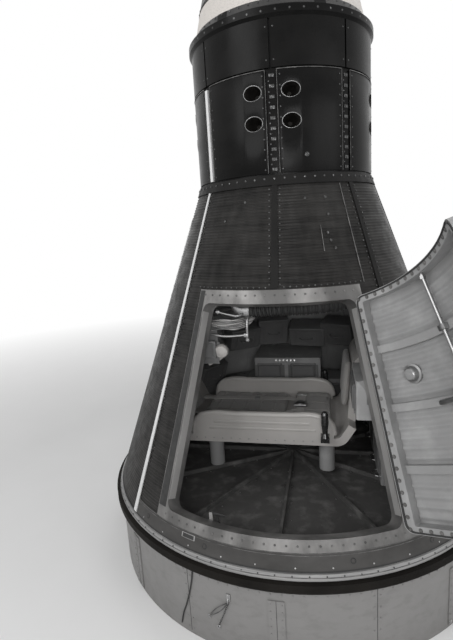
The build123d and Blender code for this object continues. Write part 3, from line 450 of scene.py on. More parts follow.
class Finish:
    """A material, built from expressions on its sockets."""

    def __init__(self, name, **constants):
        self.material = bpy.data.materials.new(name)
        self.material.use_nodes = True
        self.tree = self.material.node_tree
        self.shader = self.tree.nodes["Principled BSDF"]
        for key, value in constants.items():
            self.shader.inputs[key.replace("_", " ")].default_value = value
        self.place = self.node("ShaderNodeTexCoord", output="Object")

    def node(self, kind, settings=None, inputs=None, output=0):
        """Any node: its settings first, then its sockets."""
        made = self.tree.nodes.new(kind)
        for key, value in (settings or {}).items():
            setattr(made, key, value)
        for key, value in (inputs or {}).items():
            self.feed(made.inputs[key], value)
        return Value(self, made.outputs[output])

    def feed(self, socket, value):
        if isinstance(value, Value):
            self.tree.links.new(value.socket, socket)
        else:
            socket.default_value = value

    def maths(self, operation, *values):
        return self.node("ShaderNodeMath", {"operation": operation}, dict(enumerate(values)))

    def scaled(self, scale):
        return self.node("ShaderNodeMapping", inputs={"Vector": self.place, "Scale": scale})

    def noise(self, scale, detail=3.0, stretch=(1, 1, 1)):
        inputs = {"Vector": self.scaled(stretch), "Scale": scale, "Detail": detail, "Roughness": 0.55}
        return self.node("ShaderNodeTexNoise", inputs=inputs)

    def cells(self, scale, stretch=(1, 1, 1)):
        return self.node("ShaderNodeTexVoronoi", inputs={"Vector": self.scaled(stretch), "Scale": scale})

    def waves(self, scale, direction):
        settings = {"wave_type": "BANDS", "bands_direction": direction}
        return self.node("ShaderNodeTexWave", settings, {"Vector": self.place, "Scale": scale}, 1)

    def ranged(self, value, low, high, to_low, to_high):
        inputs = {"Value": value, "From Min": low, "From Max": high, "To Min": to_low, "To Max": to_high}
        return self.node("ShaderNodeMapRange", inputs=inputs)

    def mixed(self, factor, a, b):
        """Colour between two colours."""
        return self.node("ShaderNodeMix", {"data_type": "RGBA"}, {0: factor, 6: a, 7: b}, 2)

    def height(self):
        return self.node("ShaderNodeSeparateXYZ", inputs={0: self.place}, output="Z")

    def toned(self, factor, dark, light):
        """Base colour that goes from one tone to another."""
        self.feed(self.shader.inputs["Base Color"], self.mixed(factor, dark, light))
        return self

    def rough(self, value, smoothest, roughest, low=0.3, high=0.7):
        """Roughness that follows a value between two levels of it."""
        self.feed(self.shader.inputs["Roughness"], self.ranged(value, low, high, smoothest, roughest))
        return self

    def faded(self, share):
        """Fade the surface into plain white, as the eye sees it and not as light."""
        rays = [self.node("ShaderNodeLightPath", output=name) for name in SEEN_RAYS]
        seen = self.maths("MAXIMUM", self.maths("MAXIMUM", rays[0], rays[1]), rays[2])
        white = self.node("ShaderNodeEmission", inputs={"Color": (1, 1, 1, 1), "Strength": 1.0})
        surface = Value(self, self.shader.outputs["BSDF"])
        mix = self.node("ShaderNodeMixShader", inputs={0: share * seen, 1: surface, 2: white})
        self.feed(self.tree.nodes["Material Output"].inputs["Surface"], mix)
        return self

    def bumped(self, height, distance, strength):
        inputs = {"Height": height, "Distance": distance, "Strength": strength}
        self.feed(self.shader.inputs["Normal"], self.node("ShaderNodeBump", inputs=inputs))
        return self


SEEN_RAYS = ("Is Camera Ray", "Is Glossy Ray", "Is Transmission Ray")


def grey(value, warm=0.0):
    """Near-neutral colour, a little warm where asked."""
    return (value * (1 + warm), value, value * (1 - warm), 1.0)


def oxide_skin(settings):
    """Dark satin oxide of the cone's shingles, streaked down the slope and dusty near the foot."""
    finish = Finish("oxide_skin", Metallic=0.1, Specular_IOR_Level=0.1)
    streaks = finish.noise(9.0, 4, (3, 3, 0.35))
    blotch = finish.noise(4.0, 5)
    rows = finish.noise(7.0, 3, (0.5, 0.5, 11))
    tone = finish.ranged(streaks * 0.35 + blotch * 0.25 + rows * 0.4, 0.38, 0.64, 0.0, 1.0)
    shade = settings.cone_shade
    base = finish.mixed(tone, grey(shade * 0.5, 0.03), grey(shade * 1.75, 0.04))
    low = finish.ranged(finish.height(), 0.36, 0.75, 0.16, 0.0)
    dust = low * finish.ranged(finish.noise(9.0, 6), 0.3, 0.7, 0.3, 1)
    finish.toned(dust, base, grey(0.11, 0.05))
    finish.rough(finish.noise(22.0, 5), 0.3, 0.52)
    return finish.bumped(finish.noise(420.0, 3), 0.0004, 0.35)


def plain_skin(settings):
    """Smooth dark grey of the sill's plain panel."""
    finish = Finish("plain_skin", Metallic=0.1, Specular_IOR_Level=0.2)
    cloud = finish.noise(5.0, 5, (1, 1, 2))
    finish.toned(finish.ranged(cloud, 0.35, 0.65, 0, 1), grey(0.040, 0.03), grey(0.066, 0.03))
    finish.rough(finish.noise(20.0, 4), 0.36, 0.52)
    return finish.bumped(finish.noise(300.0), 0.0002, 0.25)


def base_band(settings):
    """Light band round the foot of the cone, dulled by handling."""
    finish = Finish("base_band", Metallic=0.4, Specular_IOR_Level=0.3)
    brush = finish.noise(6.0, 4, (1, 1, 90))
    finish.toned(finish.ranged(brush, 0.35, 0.65, 0, 1), grey(0.22), grey(0.34, 0.01))
    finish.rough(finish.noise(30.0), 0.36, 0.5)
    return finish.bumped(brush, 0.0002, 0.2)


def batten_skin(settings):
    """Darker oxide of the flat battens and rings between the shingles."""
    finish = Finish("batten_skin", Metallic=0.1, Specular_IOR_Level=0.1)
    finish.toned(finish.noise(8.0, 5), grey(0.006), grey(0.018, 0.03))
    finish.rough(finish.noise(24.0, 4), 0.4, 0.6)
    return finish.bumped(finish.noise(320.0), 0.0002, 0.25)


def edge_metal(settings):
    """Worn edges of the panels, where the enamel has gone; along the cylinder's seams the same light grey is a
    painted highlight on the panels' edges.
    """
    finish = Finish("edge_metal", Metallic=0.3, Specular_IOR_Level=0.3)
    finish.toned(finish.ranged(finish.noise(26.0, 5), 0.35, 0.65, 0, 1), grey(0.05), grey(0.16, 0.02))
    finish.rough(finish.noise(60.0), 0.35, 0.5)
    return finish.bumped(finish.noise(240.0), 0.0002, 0.2)


def opening_edge(settings):
    """Light alloy of the opening's edge."""
    finish = Finish("opening_edge", Metallic=0.3)
    finish.toned(finish.noise(9.0, 4), grey(0.3, 0.01), grey(0.42, 0.02))
    finish.rough(finish.noise(40.0), 0.38, 0.55)
    return finish.bumped(finish.noise(200.0), 0.0002, 0.2)


def gloss_skin(settings):
    """Glossy near-black enamel of the cylinder, with faint wiping marks."""
    finish = Finish("gloss_skin", Specular_IOR_Level=0.09)
    wipes = finish.noise(5.0, 4, (1, 1, 2.2))
    smear = finish.noise(26.0, 5, (1, 1, 0.25))
    shade = settings.cylinder_shade
    finish.toned(finish.ranged(wipes, 0.3, 0.7, 0, 1), grey(shade * 0.7), grey(shade * 1.45, 0.03))
    finish.rough(wipes * 0.6 + smear * 0.4, 0.2, 0.36, 0.35, 0.65)
    return finish.bumped(finish.noise(14.0, 2), 0.0012, 0.12)


def light_metal(settings):
    """Bare light alloy, brushed round the body and dulled by handling."""
    finish = Finish("light_metal", Metallic=0.9)
    brush = finish.noise(6.0, 4, (1, 1, 120))
    marks = finish.noise(12.0, 5)
    shade = settings.metal_shade
    tone = finish.ranged(brush * 0.5 + marks * 0.5, 0.35, 0.65, 0, 1)
    finish.toned(tone, grey(shade * 0.82), grey(shade * 1.12))
    finish.rough(marks, 0.3, 0.46)
    return finish.bumped(brush, 0.0002, 0.25)


def ring_paint(settings):
    """Off-white paint of the adapter ring, scuffed; its grey is set low as painted shade, and it darkens further
    towards the floor as painted shade.
    """
    finish = Finish("ring_paint")
    scuffs = finish.ranged(finish.noise(16.0, 6, (1, 1, 2)), 0.52, 0.66, 0.0, 1.0)
    # Painted shade: the paint darkens towards the floor.
    low = finish.ranged(finish.height(), 0.0, 0.16, 0.55, 0.0)
    shade = settings.ring_shade
    base = finish.mixed(finish.noise(3.0, 4), grey(shade * 0.9, 0.015), grey(shade * 1.08, 0.02))
    worn = finish.mixed(scuffs * 0.28, base, grey(shade * 0.6, 0.03))
    finish.toned(low * finish.noise(24.0, 4), worn, grey(shade * 0.5, 0.05))
    finish.rough(finish.noise(20.0), 0.45, 0.65)
    return finish.bumped(finish.noise(240.0), 0.0003, 0.3)


def ablator(settings):
    """Resin and glass fibre of the heat shield, with a woven grain; its near-black tone is partly the ablator's
    own dark colour and partly painted shade under the cone's foot.
    """
    finish = Finish("ablator", Specular_IOR_Level=0.08)
    weave = finish.cells(150.0, (1, 1, 1.6))
    cloud = finish.noise(5.0, 5)
    # Painted shade: the base greys are kept near black, darker than the ablator itself, for the shade under the
    # cone's foot.
    finish.toned(finish.ranged(cloud, 0.3, 0.7, 0, 1), grey(0.004, 0.1), grey(0.014, 0.12))
    finish.rough(weave, 0.5, 0.72, 0.0, 0.6)
    return finish.bumped(weave * 0.6 + finish.noise(60.0) * 0.4, 0.0008, 0.4)


def bare_steel(settings):
    """Turned steel of nozzles, hinges and bolts."""
    finish = Finish("bare_steel", Metallic=1.0)
    turning = finish.noise(30.0, 3, (1, 1, 20))
    finish.toned(turning, grey(0.26), grey(0.46))
    finish.rough(finish.noise(60.0, 4), 0.26, 0.42)
    return finish.bumped(turning, 0.0001, 0.2)


def dark_fastener(settings):
    """Blackened heads of the skin's screws and rivets, bright where the paint has rubbed."""
    finish = Finish("dark_fastener", Metallic=0.6)
    rub = finish.ranged(finish.noise(140.0, 4), 0.56, 0.7, 0.0, 0.6)
    finish.toned(rub, grey(0.05), grey(0.34))
    return finish.rough(finish.noise(90.0), 0.28, 0.45)


def fairing_skin(settings):
    """Satin dark skin of the antenna fairing, streaked upwards."""
    finish = Finish("fairing_skin", Metallic=0.2)
    streaks = finish.noise(12.0, 4, (2.5, 2.5, 0.4))
    finish.toned(finish.ranged(streaks, 0.3, 0.7, 0, 1), grey(0.022), grey(0.05, 0.03))
    finish.rough(finish.noise(18.0, 4), 0.34, 0.5)
    return finish.bumped(finish.noise(300.0), 0.0003, 0.25)


def glass_fibre_band(settings):
    """Pale moulded band that lets the antenna through, with its lay-up showing."""
    finish = Finish("glass_fibre_band")
    lay = finish.cells(90.0, (1, 1, 3))
    finish.toned(finish.ranged(lay, 0, 0.5, 0, 1), grey(0.46, 0.05), grey(0.62, 0.06))
    finish.rough(finish.noise(25.0), 0.42, 0.6)
    return finish.bumped(lay, 0.0004, 0.25)


def scanner_metal(settings):
    finish = Finish("scanner_metal", Metallic=0.7)
    finish.toned(finish.noise(40.0, 4), grey(0.3), grey(0.5))
    finish.rough(finish.noise(70.0), 0.25, 0.42)
    return finish.bumped(finish.noise(200.0), 0.0002, 0.2)


def cabin_enamel(settings):
    """Grey wrinkle enamel of the cabin, rubbed lighter here and there."""
    finish = Finish("cabin_enamel")
    rub = finish.ranged(finish.noise(9.0, 5), 0.5, 0.75, 0.0, 0.5)
    shade = settings.cabin_shade
    base = finish.mixed(finish.noise(5.0, 3), grey(shade * 0.8), grey(shade * 1.15))
    finish.toned(rub, base, grey(shade * 1.6))
    finish.rough(finish.noise(30.0), 0.4, 0.6)
    return finish.bumped(finish.cells(520.0), 0.0003, 0.35)


def floor_coat(settings):
    """Coat of the cabin floor, scuffed by wear; its dark grey is painted shade."""
    finish = Finish("floor_coat", Specular_IOR_Level=0.3)
    scuffs = finish.ranged(finish.noise(14.0, 6), 0.5, 0.7, 0.0, 0.8)
    # Painted shade: the base greys are kept dark for the shade that falls on the cabin floor.
    base = finish.mixed(finish.noise(4.0, 4), grey(0.045, 0.02), grey(0.085, 0.02))
    finish.toned(scuffs, base, grey(0.15, 0.02))
    finish.rough(finish.noise(30.0), 0.45, 0.65)
    return finish.bumped(finish.cells(520.0), 0.0003, 0.3)


def couch_shell_coat(settings):
    """Pale moulded glass fibre of the couch."""
    finish = Finish("couch_shell_coat", Coat_Weight=0.15)
    finish.toned(finish.noise(7.0, 5), grey(0.36, 0.03), grey(0.5, 0.04))
    finish.rough(finish.noise(40.0), 0.32, 0.5)
    return finish.bumped(finish.cells(260.0), 0.0003, 0.25)


def panel_enamel(settings):
    finish = Finish("panel_enamel")
    finish.toned(finish.noise(8.0, 5), grey(0.09), grey(0.15))
    finish.rough(finish.noise(50.0), 0.42, 0.58)
    return finish.bumped(finish.cells(600.0), 0.0002, 0.3)


def instrument_gloss(settings):
    finish = Finish("instrument_gloss", Coat_Weight=0.4, Coat_Roughness=0.06)
    finish.toned(finish.noise(30.0), grey(0.012), grey(0.03))
    finish.rough(finish.noise(60.0), 0.18, 0.32)
    return finish.bumped(finish.noise(160.0), 0.0002, 0.15)


def pane(settings):
    """Dark cabin glass."""
    finish = Finish("pane", Specular_IOR_Level=0.3, IOR=1.5)
    finish.toned(finish.noise(4.0), grey(0.006), grey(0.016))
    return finish.rough(finish.noise(9.0, 4), 0.04, 0.1, 0.35, 0.65)


def pad_cloth(settings):
    """Plain-woven grey cloth of the couch's pads."""
    finish = Finish("pad_cloth", Sheen_Weight=0.3, Sheen_Roughness=0.5)
    weave = finish.waves(320.0, "X") * 0.5 + finish.waves(320.0, "Y") * 0.5
    fade = finish.noise(10.0, 5)
    finish.toned(finish.ranged(weave * 0.5 + fade * 0.5, 0.2, 0.8, 0, 1), grey(0.2, 0.03), grey(0.33, 0.04))
    finish.rough(fade, 0.75, 0.95)
    return finish.bumped(weave, 0.0006, 0.5)


def frame_metal(settings):
    """Dull grey alloy of the hatch's frame, lighter where it has been handled."""
    finish = Finish("frame_metal", Metallic=0.5, Specular_IOR_Level=0.3)
    rub = finish.ranged(finish.noise(7.0, 5, (1, 1, 0.5)), 0.42, 0.68, 0.0, 1.0)
    finish.toned(rub, grey(0.11, 0.02), grey(0.26, 0.02))
    finish.rough(finish.noise(24.0, 4), 0.42, 0.58)
    return finish.bumped(finish.noise(260.0), 0.0002, 0.3)


def bright_strip(settings):
    """Polished strips down the joint and round the opening."""
    finish = Finish("bright_strip", Metallic=0.35)
    finish.toned(finish.noise(14.0, 4), grey(0.62), grey(0.8))
    finish.rough(finish.noise(30.0), 0.25, 0.4)
    return finish.bumped(finish.noise(120.0), 0.0002, 0.15)


def nozzle(settings):
    """Inside of the thruster nozzles, near black as painted shade in the ports' recesses."""
    finish = Finish("nozzle", Metallic=0.5, Specular_IOR_Level=0.15)
    # Painted shade: the nozzles are coloured near black for the shade inside the ports.
    finish.toned(finish.noise(30.0, 4), grey(0.008), grey(0.03, 0.1))
    finish.rough(finish.noise(60.0), 0.45, 0.65)
    return finish.bumped(finish.noise(160.0), 0.0002, 0.2)


def port_lip(settings):
    """Bare metal lips of the ports."""
    finish = Finish("port_lip", Metallic=0.9)
    finish.toned(finish.noise(60.0, 3), grey(0.07), grey(0.22))
    finish.rough(finish.noise(90.0), 0.28, 0.42)
    return finish.bumped(finish.noise(200.0), 0.0001, 0.15)


def dial_white(settings):
    """Matt white paint of the dials' marks."""
    finish = Finish("dial_white")
    finish.toned(finish.noise(80.0), grey(0.68), grey(0.8))
    return finish.rough(finish.noise(120.0), 0.5, 0.65)


def webbing_weave(settings):
    """Ribbed pale webbing of the harness."""
    finish = Finish("webbing_weave", Sheen_Weight=0.2)
    ribs = finish.waves(260.0, "X") * 0.5 + finish.waves(260.0, "Y") * 0.5
    finish.toned(ribs, grey(0.32, 0.03), grey(0.5, 0.04))
    finish.rough(finish.noise(60.0), 0.7, 0.85)
    return finish.bumped(ribs, 0.0006, 0.5)


def rubber(settings):
    """Dull black rubber of seals and hoses."""
    finish = Finish("rubber", Specular_IOR_Level=0.3)
    finish.toned(finish.noise(30.0, 4), grey(0.02), grey(0.045))
    finish.rough(finish.noise(50.0), 0.55, 0.75)
    return finish.bumped(finish.noise(400.0), 0.0002, 0.2)


def wire(settings):
    """Sleeved wires, some lighter than others."""
    finish = Finish("wire")
    sleeves = finish.ranged(finish.noise(60.0, 2, (0.2, 0.2, 3)), 0.42, 0.6, 0, 1)
    finish.toned(sleeves, grey(0.12), grey(0.42, 0.02))
    finish.rough(finish.noise(80.0), 0.35, 0.5)
    return finish.bumped(finish.waves(600.0, "X"), 0.0002, 0.2)


FINISHES = {
    "shield_ablator": ablator,
    "ring_paint": ring_paint,
    "light_metal": light_metal,
    "cone_shingle": oxide_skin,
    "cylinder_black": gloss_skin,
    "steel": bare_steel,
    "fairing_black": fairing_skin,
    "dielectric": glass_fibre_band,
    "scanner": scanner_metal,
    "cabin_grey": cabin_enamel,
    "floor_coat": floor_coat,
    "couch_glassfibre": couch_shell_coat,
    "pad_fabric": pad_cloth,
    "panel_grey": panel_enamel,
    "instrument_black": instrument_gloss,
    "glass": pane,
    "fastener": dark_fastener,
    "rubber": rubber,
    "wire": wire,
    "plain_skin": plain_skin,
    "base_band": base_band,
    "batten_skin": batten_skin,
    "edge_metal": edge_metal,
    "opening_edge": opening_edge,
    "frame_metal": frame_metal,
    "bright_strip": bright_strip,
    "nozzle": nozzle,
    "port_lip": port_lip,
    "dial_white": dial_white,
    "webbing": webbing_weave,
}

# Nodes whose finish is finer than their slot's
OWN_FINISH = {
    "cabin_floor": "floor_coat",
    "base_ring": "base_band",
    "hatch_frame": "frame_metal",
    "side_strip": "bright_strip",
    "sill": "plain_skin",
    "cone_battens": "batten_skin",
    "top_ring": "batten_skin",
}
MADE = {}


def finish_of(name):
    """The material of a finish, made once."""
    if name not in MADE:
        MADE[name] = FINISHES[name](bpy.context.scene.capsule_looks).material
    return MADE[name]


class CapsuleLooks(bpy.types.PropertyGroup):
    """Sizes and shades that change the capsule's look."""

    bead_pitch: bpy.props.FloatProperty(
        name="Bead pitch", description="Distance between two beads", default=0.0127, unit="LENGTH"
    )
    bead_depth: bpy.props.FloatProperty(
        name="Bead depth", description="How deep the shingles' beads are", default=0.0026, unit="LENGTH"
    )
    bolt_step: bpy.props.FloatProperty(
        name="Bolt step", description="Distance between the bolts of a seam", default=0.040, unit="LENGTH"
    )
    cone_shade: bpy.props.FloatProperty(
        name="Cone shade", description="Grey level of the cone", default=0.019, subtype="FACTOR"
    )
    cylinder_shade: bpy.props.FloatProperty(
        name="Cylinder shade", description="Grey level of the cylinder", default=0.0045, subtype="FACTOR"
    )
    metal_shade: bpy.props.FloatProperty(
        name="Metal shade", description="Grey level of the bare metal", default=0.32, subtype="FACTOR"
    )
    # The ring's grey level is set well below its off-white paint, as painted shade.
    ring_shade: bpy.props.FloatProperty(
        name="Ring shade", description="Grey level of the adapter ring", default=0.2, subtype="FACTOR"
    )
    cabin_shade: bpy.props.FloatProperty(
        name="Cabin shade", description="Grey level of the cabin", default=0.26, subtype="FACTOR"
    )


class CapsuleStage(bpy.types.PropertyGroup):
    """Strengths of the stage's lamps."""

    key_watts: bpy.props.FloatProperty(
        name="Key lamp", description="Strength of the large lamp", default=75.0, unit="POWER"
    )
    fill_watts: bpy.props.FloatProperty(
        name="Fill lamp", description="Strength of the side lamp", default=35.0, unit="POWER"
    )
    front_watts: bpy.props.FloatProperty(
        name="Front lamp", description="Strength of the lamp before the hatch", default=30.0, unit="POWER"
    )
    surround: bpy.props.FloatProperty(
        name="Surround", description="Strength of the light from all round", default=0.42, subtype="FACTOR"
    )


class CAPSULE_OT_finish_solids(bpy.types.Operator):
    """Give every carried-over solid its finish"""

    bl_idname = "capsule.finish_solids"
    bl_label = "Finish the solids"

    def execute(self, context):
        for row in frame["record"]["subparts"]:
            solid = frame["nodes"][row["node"]]
            finish = finish_of(OWN_FINISH.get(row["node"], row["material_slot"]))
            if not solid.data.materials:
                solid.data.materials.append(finish)
            for i in range(len(solid.material_slots)):
                solid.material_slots[i].material = finish
        return {"FINISHED"}


# Walls of the cone that get fine shingles: node, first and last azimuth, lower and upper height
SHINGLED = (
    ("lintel_left", -SEAM_STEP, 0.0, FRAME_Z1, WALL_Z1),
    ("lintel_right", 0.0, SEAM_STEP, FRAME_Z1, WALL_Z1),
    ("jamb_left", -SEAM_STEP, -FRAME_AZ, FRAME_Z0, FRAME_Z1),
    ("jamb_right", FRAME_AZ, SEAM_STEP, FRAME_Z0, FRAME_Z1),
    ("side_right_front", SEAM_STEP, 2 * SEAM_STEP, WALL_Z0, WALL_Z1),
    ("side_right_rear", 2 * SEAM_STEP, 3 * SEAM_STEP, WALL_Z0, WALL_Z1),
    ("rear_right", 3 * SEAM_STEP, 4 * SEAM_STEP, WALL_Z0, WALL_Z1),
    ("rear_left", 4 * SEAM_STEP, 5 * SEAM_STEP, WALL_Z0, WALL_Z1),
    ("side_left_rear", 5 * SEAM_STEP, 6 * SEAM_STEP, WALL_Z0, WALL_Z1),
    ("side_left_front", -2 * SEAM_STEP, -SEAM_STEP, WALL_Z0, WALL_Z1),
)
BEAD_POINTS = ((0.0, 1.0), (0.22, 0.85), (0.36, 0.15), (0.5, 0.0), (0.64, 0.15), (0.78, 0.85), (1.0, 1.0))
BEAD_MARGIN = 0.004
PANEL_COLUMNS = 15


def beaded(az0, az1, z0, z1, columns, pitch, crest, valley, back=None):
    """Wall with level beads; its crests, its valleys and its back lie at depths under the skin."""
    pitch_z = pitch * cos(HALF_ANGLE)
    first_z = z0 + BEAD_MARGIN
    count = int((z1 - first_z - BEAD_MARGIN) / pitch_z)
    bead = []
    for part, deep in BEAD_POINTS:
        bead.append(polar(az0, *skin(first_z + part * pitch_z, crest + deep * (valley - crest))))
    wall = drawn(bead, closed=False)
    modified(
        wall,
        "ARRAY",
        count=count,
        use_relative_offset=False,
        use_constant_offset=True,
        constant_offset_displace=bead[-1] - bead[0],
        use_merge_vertices=True,
        merge_threshold=pitch / 50,
    )
    top = max(v.co.z for v in wall.data.vertices)
    pick(wall, "VERT", lambda v: v.co.z > top - 1e-6)
    rim = [skin(first_z + count * pitch_z, valley), skin(z1, valley)]
    rim += [(inner_r(z1), z1), (inner_r(z0), z0)] if back is None else [skin(z1, back), skin(z0, back)]
    rim.append(skin(z0, valley))
    corners = [polar(az0, r, z) for r, z in rim]
    for here, there in zip(corners, corners[1:]):
        bpy.ops.mesh.extrude_region_move(TRANSFORM_OT_translate={"value": there - here})
    bpy.ops.mesh.select_all(action="SELECT")
    bpy.ops.mesh.edge_face_add()
    spun(wall, az1 - az0, columns)
    return smooth(wall, 55)


def rounded_prism(points, corner_r, matrix, depth0, depth1):
    """Prism of a flat outline with rounded corners, between two heights over its plane."""
    piece = drawn([Vector((x, y, depth0)) for x, y in points])
    alone(piece)
    edit_mode()
    bpy.ops.mesh.select_mode(type="FACE")
    bpy.ops.mesh.select_all(action="SELECT")
    bpy.ops.mesh.extrude_region_move(TRANSFORM_OT_translate={"value": (0, 0, depth1 - depth0)})
    bpy.ops.mesh.select_all(action="SELECT")
    bpy.ops.mesh.normals_make_consistent(inside=False)
    object_mode()

    def stands(edge):
        a, b = ends(piece, edge)
        return abs(a.z - b.z) > 0.5 * abs(depth1 - depth0)

    pick(piece, "EDGE", stands)
    bpy.ops.mesh.bevel(offset=corner_r, offset_type="OFFSET", segments=8, affect="EDGES")
    object_mode()
    return settled(piece, matrix)


def opening_cutter(foot_half, head_half, half_h, corner_r, place, depth):
    """Prism of an opening of the cone, wider at its foot where asked."""
    corners = [(-foot_half, -half_h), (foot_half, -half_h), (head_half, half_h), (-head_half, half_h)]
    return rounded_prism(corners, corner_r, place, -depth, 0.1)


def window_cutter():
    half_h = WINDOW_H / 2 / cos(HALF_ANGLE) + 0.030
    place = on_cone(WINDOW_AZ, WINDOW_Z0 + WINDOW_H / 2)
    return opening_cutter(WINDOW_FOOT_HALF, WINDOW_HEAD_HALF, half_h, WINDOW_CORNER_R, place, WINDOW_CUT_DEPTH)


def scope_cutter():
    half_h = SCOPE_H / 2 + HATCH_GAP
    place = on_cone(SCOPE_AZ, SCOPE_Z0 + SCOPE_H / 2)
    return opening_cutter(SCOPE_HALF_W, SCOPE_HALF_W, half_h, SCOPE_CORNER_R, place, SCOPE_RECESS)


def lined(wall, outward=None):
    """Give the faces that look into the cabin the cabin's finish; outward stands in for each face's own."""
    wall.data.materials.append(finish_of("cabin_grey"))
    for face in wall.data.polygons:
        out = Vector((face.center.x, face.center.y, 0)).normalized() if outward is None else outward
        if face.normal.dot(out) < -0.5:
            face.material_index = 1


class CAPSULE_OT_shingles(bpy.types.Operator):
    """Build the beaded walls of the cone, with the window and the periscope's recess cut in them"""

    bl_idname = "capsule.shingles"
    bl_label = "Shingled walls"

    def execute(self, context):
        looks = context.scene.capsule_looks
        for node, az0, az1, z0, z1 in SHINGLED:
            columns = max(4, round(PANEL_COLUMNS * (az1 - az0) / SEAM_STEP))
            wall = beaded(az0, az1, z0, z1, columns, looks.bead_pitch, 0.0, looks.bead_depth)
            if node.startswith("side_left"):
                cut_by(wall, window_cutter())
            if node.startswith("side_right"):
                cut_by(wall, scope_cutter())
            finished(wall, "shingles_" + node, "cone_shingle")
            lined(wall)
            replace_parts(wall, node)
        return {"FINISHED"}


def hatch_blank(gap, depth0, depth1, corner_r):
    """The hatch's shape between two depths, shut, with rounded corners."""
    side = HATCH_AZ - math.degrees(gap / inner_r(HATCH_Z1))
    z0, z1 = HATCH_Z0 + gap * cos(HALF_ANGLE), HATCH_Z1 - gap * cos(HALF_ANGLE)
    piece = lathe([skin(z0, depth0), skin(z1, depth0), skin(z1, depth1), skin(z0, depth1)], -side, side, 14)
    thick = abs(depth1 - depth0)

    def corner(edge):
        a, b = ends(piece, edge)
        middle = (a + b) / 2
        az = math.degrees(math.atan2(middle.x, -middle.y))
        return abs(abs(az) - side) < 0.2 and abs((a - b).length - thick) < 1e-4

    pick(piece, "EDGE", corner)
    bpy.ops.mesh.bevel(offset=corner_r, offset_type="OFFSET", segments=6, affect="EDGES")
    object_mode()
    return piece


class CAPSULE_OT_hatch_skin(bpy.types.Operator):
    """Build the hatch's beaded outer skin"""

    bl_idname = "capsule.hatch_skin"
    bl_label = "Hatch skin"

    def execute(self, context):
        looks = context.scene.capsule_looks
        size = (-HATCH_AZ, HATCH_AZ, HATCH_Z0, HATCH_Z1, 20)
        plate = beaded(*size, looks.bead_pitch, 0.0, looks.bead_depth, HATCH_SKIN_T)
        cut_by(plate, hatch_blank(HATCH_GAP, -0.02, HATCH_SKIN_T + 0.02, HATCH_CORNER_R), "INTERSECT")
        smooth(settled(plate, hatch_swing()), 55)
        finished(plate, "shingles_hatch", "cone_shingle", body="hatch")
        lined(plate, hatch_swing().to_3x3() @ Vector((0, -1, 0)))
        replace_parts(plate, "hatch_skin")
        return {"FINISHED"}


# Cylinder's seams: lugs, strips of painted highlight along the panels' edges, and the azimuths aside of a seam of
# its rows of rivets
SEAM_LUG = (0.020, 0.0125, 0.0026)
SEAM_HIGHLIGHT_W = 0.0016
SEAM_HIGHLIGHT_R = (CYLINDER_R - 0.004, CYLINDER_R + 0.0012)
LUG_ASIDE = 0.35
STRIP_RIVET_ASIDE = -1.35
LOWER_RIVET_ASIDE = 4.9
UPPER_RIVET_ASIDE = 2.0
# Small round fitting of the cylinder: azimuth, height over the cylinder's foot
FITTING_AZ = 18.4
FITTING_Z = 0.070


def wall_row(az, r, z0, z1, step):
    """Places of a row of fasteners up the cylinder."""
    count = max(1, round((z1 - z0) / step))
    return [on_wall(az, r, z0 + (z1 - z0) * i / count) for i in range(count + 1)]


def cone_row(az, z0, z1, step, lift=0.0, aside=0.0):
    """Places of a row of fasteners down the cone, a distance aside of an azimuth."""
    count = max(1, round((z1 - z0) / cos(HALF_ANGLE) / step))
    places = []
    for i in range(count + 1):
        z = z0 + (z1 - z0) * i / count
        places.append(on_cone(az + math.degrees(aside / cone_r(z)), z, lift))
    return places


def round_row(az0, az1, z, step, lift=0.0):
    """Places of a level row of fasteners on the cone."""
    count = max(1, round(radians(az1 - az0) * cone_r(z) / step))
    return [on_cone(az0 + (az1 - az0) * i / count, z, lift) for i in range(count + 1)]


